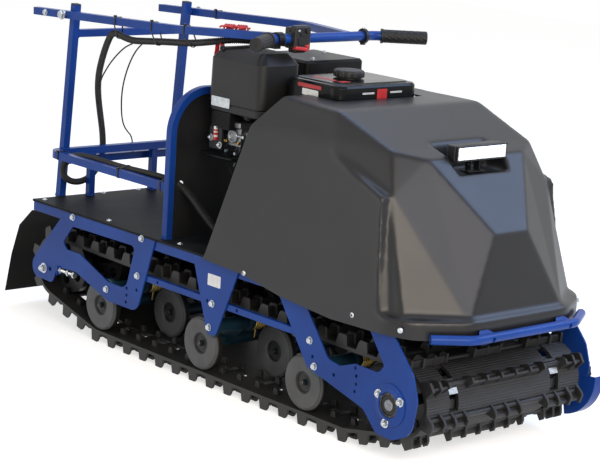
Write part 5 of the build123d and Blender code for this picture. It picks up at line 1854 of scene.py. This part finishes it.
# %% [markdown]
# The cylinder leans back from the crankcase, so one function gives a point along its slanted axis.
# Its head is bolted at four corners and carries the spark plug under a rubber boot, whose lead runs
# down to the crankcase.

# %% Cylinder head, its bolts and plug
CRANK_Y, CRANK_Z = 470, 470
HEAD_SLANT = math.radians(25)
AXIS_OUT = (0, math.cos(HEAD_SLANT), math.sin(HEAD_SLANT))
FOOT_BOLTS = ((-80, 437), (128, 437), (-80, 575), (128, 575))
COVER_FACE = -95.3
COVER_BOLT_R = 104


def on_barrel(along, x, across):
    """A point of the slanted cylinder: distance along its axis, x, and offset across it."""
    return (x, CRANK_Y + along * math.cos(HEAD_SLANT) - across * math.sin(HEAD_SLANT),
            CRANK_Z + along * math.sin(HEAD_SLANT) + across * math.cos(HEAD_SLANT))


def round_crank(radius, angle):
    """Drawing y and z at a radius and an angle round the crankshaft."""
    return CRANK_Y + radius * math.cos(angle), CRANK_Z + radius * math.sin(angle)


bm = bmesh.new()
for x in (-85, 15):
    for across in (-38, 38):
        hex_head(bm, out_of(*on_barrel(382, x, across), AXIS_OUT, (1, 0, 0)), 10, 6, 16)
for x, y in FOOT_BOLTS:
    hex_head(bm, out_of(x, y, 362, (0, 0, 1), (0.3, 1, 0)), 15, 7, 24)
for k in range(6):
    y, z = round_crank(COVER_BOLT_R, math.radians(30 + 60 * k))
    hex_head(bm, out_of(COVER_FACE - 63.2, y, z, (-1, 0, 0), (0, 0.3, 1)), 8, 4.5, 12)
for x, y in ((156, 776), (30, 676)):
    hex_head(bm, out_of(x, y, 806, (0, 0, 1), (0.2, 1, 0)), 8, 4, 13)
piece("engine_bolts", bm, zinc, sharp=30)

bm = bmesh.new()
boot = out_of(*on_barrel(381, -35, -10), AXIS_OUT, (1, 0, 0))
lathe(bm, boot, [(0, 0), (9, 0), (9, 10), (11, 12), (11, 30), (8, 33), (0, 33)], 20)
lead_stops = [(410, -35, -10), (418, -38, -10), (420, -60, -22), (396, -92, -60), (340, -118, -86),
              (280, -122, -100)]                       # along the axis, x, across it
lead = smooth_line("plug wire", [on_barrel(*stop) for stop in lead_stops])
tube_along(bm, lead, 0.004, lambda s: 0.0035, 8)
piece("spark_plug_boot", bm, soft_rubber, sharp=40)
print("engine bolts done")

# %% [markdown]
# The starter's cover is a turned plastic cup with radial ribs round its rim and over its face. The
# hot cover on the other side has a row of pressed louvres.

# %% Starter cover and louvres
COVER = [(0, 0), (118, 0), (118, 48), (114, 57), (104, 62), (88, 62.6), (78, 64), (75, 68), (74, 84),
         (69, 90.5), (60, 91.8), (20, 91.8), (18, 89), (0, 89)]
RIM_RIBS = (28, 62.6, 92, (-2, -9, -1), (2, 9, 2.2), 0.9)            # count, depth, radius, corners, bevel
FACE_RIBS = (18, 91.8, 42, (-2.2, -15, -1), (2.2, 15, 1.6), 0.8)
LOUVRES = 9
bm = bmesh.new()
lathe(bm, out_of(COVER_FACE, CRANK_Y, CRANK_Z, (-1, 0, 0), (0, 0, 1)), COVER, 96)
piece("starter_cover", bm, engine_plastic, sharp=40, stands_for=["recoil_cover"])
bm = bmesh.new()
for count, depth, radius, low, high, bevel in (RIM_RIBS, FACE_RIBS):
    for k in range(count):
        angle = 2 * math.pi * k / count
        y, z = round_crank(radius, angle)
        spoke = out_of(COVER_FACE - depth, y, z, (-1, 0, 0), (0, math.cos(angle), math.sin(angle)))
        soft_box(bm, spoke, low, high, bevel, 1)
handle_seat = out_of(-160, CRANK_Y + 70, CRANK_Z + 66, (0, 0.7, 0.7), (1, 0, 0))
soft_box(bm, handle_seat, (-10, -26, 0), (10, 26, 13), 4, 3)
piece("starter_ribs", bm, hub_black, sharp=40)
bm = bmesh.new()
for k in range(LOUVRES):
    louvre = out_of(182, 676 + 19 * k, 724, (1, 0, 0), (0, 0, 1))
    soft_box(bm, louvre, (-3.5, -48, -0.8), (3.5, 48, 1.4), 0.7, 1)
piece("muffler_louvres", bm, heat_paint, sharp=40)
print("engine done")

# %% [markdown]
# ## Handle
# Both grips are moulded rubber sleeves. The near one is fluted with a hollow end, the far one has
# a diamond pattern. Each is a skin whose radius follows a formula of turn and length, so its
# pattern is real relief and shows in the outline.

# %% Grips
BAR_Y, BAR_Z = 611, 870
GRIP_ROOT_X, GRIP_ROOT_Y = 170 + 22 * 0.809, BAR_Y - 22 * 0.588
GRIP_LONG = 112.0
GRIP_R = 16.6
FLUTES = 16
DIAMONDS = 8
DIAMOND_TURNS = 7


def patterned_grip(bm, place, length, depth, steps, pattern):
    """A sleeve whose radius follows a pattern of (turn, share of length), with round ends."""
    rings = []
    for j in range(steps + 1):
        share = j / steps
        rounding = min(1.0, min(share, 1 - share) * length / 3.0)
        ring = []
        for k in range(96):
            turned = k / 96
            r = (GRIP_R - depth * pattern(turned, share)) * (0.86 + 0.14 * math.sqrt(1 - (1 - rounding) ** 2))
            angle = 2 * math.pi * turned
            spot = Vector((r * math.cos(angle), r * math.sin(angle), share * length))
            ring.append(bm.verts.new(place @ spot))
        rings.append(ring)
    skin(bm, rings)


def fluted(turned, share):
    """Depth of the straight flutes."""
    return max(0.0, math.cos(2 * math.pi * turned * FLUTES)) ** 2 if 0.1 < share < 0.93 else 0


def diamond(turned, share):
    """Depth of the grooves that cross in diamonds."""
    if not 0.05 < share < 0.96:
        return 0
    waves = [math.cos(2 * math.pi * (turned * DIAMONDS + sign * share * DIAMOND_TURNS)) for sign in (1, -1)]
    return max(0.0, *waves) ** 4


near_grip = out_of(-GRIP_ROOT_X, GRIP_ROOT_Y, BAR_Z, (-106, -77, 0))
far_grip = out_of(GRIP_ROOT_X, GRIP_ROOT_Y, BAR_Z, (106, -77, 0))
GRIP_END = [(0, 0), (15.6, 0), (16.4, 1.5), (16.4, 5), (15, 6.6), (3.4, 6.8), (3, 5.9), (0, 5.9)]
bm = bmesh.new()
patterned_grip(bm, near_grip, GRIP_LONG - 6, 1.3, 26, fluted)
lathe(bm, near_grip, [(12, 0), (19.5, 0), (19.5, 3), (18.6, 4.4), (16, 4.4)], 48)
lathe(bm, raise_by(near_grip, GRIP_LONG - 7), GRIP_END, 48)
patterned_grip(bm, far_grip, GRIP_LONG, 1.1, 84, diamond)
lathe(bm, far_grip, [(12, -4), (18.4, -4), (18.4, 0), (17.4, 1.6), (14, 1.6)], 48)
piece("grips_moulded", bm, soft_rubber, body="handle", sharp=50, stands_for=["grips"])
print("grips done")

# %% [markdown]
# The switch housing is clamped from two moulded halves. It carries rubber keys, two screws and a
# red thumb lever for the throttle. Further in sits the brake lever's clamp with its band.

# %% Switch housing
SWITCH_X = -83
HOUSING_HALF = 25.5
COLLAR = [(12.4, 0), (17, 0), (16.6, 2), (13, 3), (12.4, 3)]
bm = bmesh.new()
housing = out_of(SWITCH_X, BAR_Y, BAR_Z, (0, -1, 0), (0, 0, 1))
soft_box(bm, housing, (-26, -27, 1), (26, 33, 22), 6, 4)
soft_box(bm, housing, (-26, -24, -19), (26, 28, 0), 6, 4)
soft_box(bm, housing, (-19, -34, -12), (20, -20, 14), 5, 3)
for side in (-1, 1):
    lathe(bm, out_of(SWITCH_X + side * HOUSING_HALF, BAR_Y, BAR_Z, (side, 0, 0)), COLLAR, 32)
piece("switch_housing", bm, hub_black, body="handle", sharp=40, stands_for=["switch_box"])
bm = bmesh.new()
face = out_of(SWITCH_X, 588.8, BAR_Z, (0, -1, 0), (0, 0, 1))
soft_box(bm, face, (-14, -14, -1), (14, 2, 2.2), 1.6, 3)
soft_box(bm, face, (-9, 8, -1), (4, 15, 2.4), 1.2, 2)
lathe(bm, face @ Matrix.Translation((12, 20, 0)), [(0, -1), (6, -1), (6, 3), (5.2, 4), (0, 4.4)], 28)
lathe(bm, upright(-70, 612, 903), [(0, -3), (4.5, -3), (4.5, 0), (3, 0.8), (0, 0.8)], 20)
piece("switch_keys", bm, soft_rubber, body="handle", sharp=40)
print("switch housing done")

# %% Screws, thumb lever and brake clamp
PAN_SCREW = [(0, -1), (3.2, -1), (3.2, 1), (2.4, 1.8), (0, 1.8)]
SIDE_SCREW = [(0, -1), (3, -1), (3, 1), (2.4, 1.8), (0, 1.8)]
BAND = [(12.3, 0), (18.4, 0), (19, 1), (19, 8), (18.4, 9), (12.3, 9), (12.3, 0)]
BAND_X = 130
bm = bmesh.new()
lathe(bm, face @ Matrix.Translation((-14, 21, 0)), PAN_SCREW, 20)
lathe(bm, out_of(-57, 606, 858, (1, -0.2, 0)), SIDE_SCREW, 20)
for side in (-1, 1):
    button_screw(bm, out_of(BAND_X + 4, BAR_Y, BAR_Z + side * 19.2, (0, 0, side), (0, 1, 0)), 7, 2.4)
piece("switch_screws", bm, zinc, body="handle", sharp=40)
bm = bmesh.new()
soft_box(bm, out_of(-87, 590, 848, (0, -1, 0.1), (0.12, 0, 1)), (-22, -5, -8), (20, 4, 6), 2.4, 3)
soft_box(bm, out_of(-70, 592, 854, (0, -1, 0.1), (0.5, 0, 1)), (-7, -4, -6), (7, 5, 5), 2, 3)
piece("throttle_thumb", bm, red_plastic, body="handle", sharp=40)
bm = bmesh.new()
lathe(bm, out_of(BAND_X, BAR_Y, BAR_Z, (1, 0, 0)), BAND, 48)
soft_box(bm, out_of(BAND_X + 4.5, BAR_Y, 852, (0, 0, -1), (1, 0, 0)), (-4.5, -6, -3), (4.5, 6, 4), 1.2, 2)
piece("bar_band", bm, hub_black, body="handle", sharp=40, stands_for=["bar_clamp"])
softened("brake_lever", 1.4, heat_paint, body="handle")
print("handle done")

# %% [markdown]
# ## Kill cord
# A red kill cord is coiled on the inner side of the right arm, and its wrist strap hangs below it.
# The coil's turns are worked out by a loop from the arm's own direction, so they follow its bend.

# %% Kill cord
ARM_X = -212
ARM_BEND_Y = 915            # the arm runs straight behind this, and inwards in front of it
CORD_R = 0.0024
CORD_STEP = 0.003
COIL_R = 14.6
COIL_STEPS = 28
COILS = ((789, 3.5, 7.5), (757, 3.5, 7))                # y, turns, drift in mm a turn
RUNS = ((16, 803, 723), (18, 794, 740))                 # height over the arm's middle, from y, to y
RUN_STEPS = 30


def arm_place(y):
    """Middle of the right arm at a drawing y, and its heading in plan and height."""
    if y >= ARM_BEND_Y:
        return Vector((ARM_X, y, 833 + (1538 - y) / 623 * 25)), Vector((0, -1, 0.0401)).normalized()
    share = (ARM_BEND_Y - y) / 304
    return Vector((ARM_X + 122 * share, y, 858 + 12 * share)), Vector((122, -304, 12)).normalized()


def coil_path(y, turns, drift):
    """Points of a coil that hangs on the inner side of the arm and drifts along it."""
    middle, heading = arm_place(y)
    side = heading.cross(Vector((0, 0, 1))).normalized()
    top = side.cross(heading).normalized()
    points = []
    for k in range(int(turns * COIL_STEPS) + 1):
        angle = 2 * math.pi * k / COIL_STEPS
        inwards = COIL_R / 2 * math.cos(angle) - 22
        over = COIL_R * math.sin(angle) + 5
        slide = drift * (k / COIL_STEPS - turns / 2)
        points.append(at(*(middle + side * inwards + top * over + heading * slide)))
    return points


def run_path(rise, y0, y1):
    """Points of a loose length that lies along the arm."""
    points = []
    for k in range(RUN_STEPS + 1):
        y = y0 + (y1 - y0) * k / RUN_STEPS
        middle, _ = arm_place(y)
        swing = 5 * math.sin(k * 0.7 + rise)
        points.append(at(middle.x + swing, y, middle.z + rise - 1.5 * math.cos(k * 0.9)))
    return points


bm = bmesh.new()
for coil in COILS:
    tube_along(bm, coil_path(*coil), CORD_STEP, lambda s: CORD_R, 8)
for run in RUNS:
    tube_along(bm, run_path(*run), CORD_STEP, lambda s: CORD_R, 8)
piece("kill_cord", bm, red_plastic, body="handle", sharp=60)
print("coils:", len(COILS))

# %% [markdown]
# The strap is a flat loop of webbing. It is a skin over rings of four corners, joined end to end.

# %% Strap
STRAP_Y = 818
STRAP_TALL = 62
STRAP_WIDE = 14
STRAP_THICK = 1.6
STRAP_STEPS = 28
middle, _ = arm_place(STRAP_Y)
bm = bmesh.new()
rings = []
for k in range(STRAP_STEPS):
    angle = 2 * math.pi * k / STRAP_STEPS
    y = 10 * math.sin(angle) * (1.25 if math.cos(angle) < 0 else 1)
    z = -STRAP_TALL / 2 * (1 - math.cos(angle))
    outer_scale = 1 + STRAP_THICK / (STRAP_TALL / 2)
    ring = []
    for scale, edge in ((1, -1), (1, 1), (outer_scale, 1), (outer_scale, -1)):
        x = middle.x + 20 + edge * STRAP_WIDE / 2
        ring.append(bm.verts.new(at(x, STRAP_Y + y * scale, middle.z - 14 + z * scale)))
    rings.append(ring)
skin(bm, rings, joined=True)
piece("kill_strap", bm, red_plastic, body="handle", sharp=60)
print("strap done")

# %% [markdown]
# ## Cable ties
# A tie pulls tight round whatever it holds, so its loop is the convex outline of the tubes and
# cords inside it, grown by its own thickness. Its head sits on top.

# %% Tie outlines
def hull(points):
    """Convex outline of points in a plane, counterclockwise."""
    points = sorted(set(points))
    halves = []
    for ordered in (points, points[::-1]):
        chain = []
        for p in ordered:
            while len(chain) > 1:
                a, b = chain[-2], chain[-1]
                if (b[0] - a[0]) * (p[1] - a[1]) - (b[1] - a[1]) * (p[0] - a[0]) > 0:
                    break
                chain.pop()
            chain.append(p)
        halves.append(chain[:-1])
    return halves[0] + halves[1]


def grown_outline(outline, grow):
    """The convex outline at a distance outside another one."""
    grown = []
    for x, z in outline:
        for k in range(8):
            angle = k * math.pi / 4
            grown.append((round(x + grow * math.cos(angle), 4), round(z + grow * math.sin(angle), 4)))
    return hull(grown)


def resampled(ring, middle, count=56):
    """Points of a convex ring at even angles round its middle."""
    found = []
    for k in range(count):
        ray = Vector((math.cos(2 * math.pi * k / count), math.sin(2 * math.pi * k / count)))
        for a, b in zip(ring, ring[1:] + ring[:1]):
            a, b = Vector(a) - middle, Vector(b) - middle
            cross = (b - a).x * ray.y - (b - a).y * ray.x
            if abs(cross) < 1e-9:
                continue
            t = -(a.x * ray.y - a.y * ray.x) / cross
            hit = a + (b - a) * t
            if -1e-6 <= t <= 1 + 1e-6 and hit.dot(ray) > 0:
                found.append(hit + middle)
                break
    return found


print("outline tools ready")

# %% Cable ties
TIE_WIDE = 4.6
TIE_GAP = 0.5
TIE_THICK = 1.3
TUBE_HALF = 10.2
SLEEVE_R = 9.2
ARM_TIES = ((1165, ARM_X, -206, 813), (1010, ARM_X, -197, 815), (890, arm_place(890)[0].x, -180.5, 825.5))
FAR_TIE_Y = 1279
RACK_TIES = ((1350, -225.6, 466), (1079, -224, 477), (900, -223, 481))


def tie(bm, y, tube, cord=None):
    """A cable tie across Y round a square tube's middle (x, z) and a round cord's, with its head."""
    tube_x, tube_z = tube
    points = [(tube_x + a * TUBE_HALF, tube_z + b * TUBE_HALF) for a in (-1, 1) for b in (-1, 1)]
    if cord:
        angles = [k * math.pi / 8 for k in range(16)]
        points += [(cord[0] + SLEEVE_R * math.cos(a), cord[1] + SLEEVE_R * math.sin(a)) for a in angles]
    outline = hull(points)
    middle = Vector((sum(p[0] for p in outline) / len(outline), sum(p[1] for p in outline) / len(outline)))
    inner = resampled(grown_outline(outline, TIE_GAP), middle)
    outside = resampled(grown_outline(outline, TIE_GAP + TIE_THICK), middle)
    half = TIE_WIDE / 2
    loops = []
    for ring, shift in ((inner, -half), (inner, half), (outside, half), (outside, -half)):
        loops.append([bm.verts.new(at(p.x, y + shift, p.y)) for p in ring])
    skin(bm, loops, joined=True)
    top = max(outside, key=lambda p: p.y - 0.3 * p.x)
    soft_box(bm, upright(top.x, y, top.y), (-3.4, -3.6, -1), (3.4, 3.6, 4.2), 0.8)


bm = bmesh.new()
for y, tube_x, cord_x, cord_z in ARM_TIES:
    tie(bm, y, (tube_x, arm_place(y)[0].z), (cord_x, cord_z))
tie(bm, FAR_TIE_Y, (-ARM_X, arm_place(FAR_TIE_Y)[0].z))
piece("arm_ties", bm, hub_black, body="handle", sharp=40)
bm = bmesh.new()
for y, cord_x, cord_z in RACK_TIES:
    tie(bm, y, (-246, 467), (cord_x, cord_z))
piece("rack_ties", bm, hub_black, sharp=40)
print("ties:", len(ARM_TIES) + len(RACK_TIES) + 1)

# %% [markdown]
# ## Bogie springs
# Torsion springs of yellow-passivated wire sit on the bogies' pivot tubes and press the rockers
# down. Each is one wire: a straight leg on the rocker arm, seven turns and a leg up to the frame.

# %% Bogie springs
PIVOT_TUBE_Z = 167
SPRING_X = 112
SPRING_WIDE = 40
SPRING_R = 21
WIRE_R = 0.0026
TURNS = 7
TURN_STEPS = 24
bm = bmesh.new()
for y in BOGIE_YS:
    for side in (-1, 1):
        points = [at(side * SPRING_X, y + 30, 112), at(side * SPRING_X, y + 23, 150)]
        for k in range(TURNS * TURN_STEPS + 1):
            angle = 2 * math.pi * k / TURN_STEPS
            x = side * (SPRING_X + SPRING_WIDE * k / (TURNS * TURN_STEPS))
            points.append(at(x, y + SPRING_R * math.cos(angle), PIVOT_TUBE_Z + SPRING_R * math.sin(angle)))
        points.append(at(side * 152.5, y + 22, 190))
        points.append(at(side * 153, y + 15, 226))
        tube_along(bm, points, 0.0032, lambda s: WIRE_R, 8)
piece("bogie_springs", bm, yellow_zinc, sharp=60)
print("springs:", 2 * len(BOGIE_YS))

# %% Bogie collars
INNER_COLLAR = [(17, 0), (23, 0), (23.6, 1), (23.6, 9), (23, 10), (17, 10), (17, 0)]
OUTER_COLLAR = [(17, 0), (26, 0), (27, 1.5), (27, 9), (26, 11), (17, 12.5)]
bm = bmesh.new()
for y in BOGIE_YS:
    for side in (-1, 1):
        lathe(bm, out_of(side * 158, y, PIVOT_TUBE_Z, (side, 0, 0)), INNER_COLLAR, 36)
        lathe(bm, out_of(side * 268, y, PIVOT_TUBE_Z, (side, 0, 0)), OUTER_COLLAR, 36)
# The collars take the bogies' coat, whose darker teal tone is painted shade.
piece("bogie_collars", bm, bogie_coat_painted_shade, sharp=40)
print("collars:", 4 * len(BOGIE_YS))
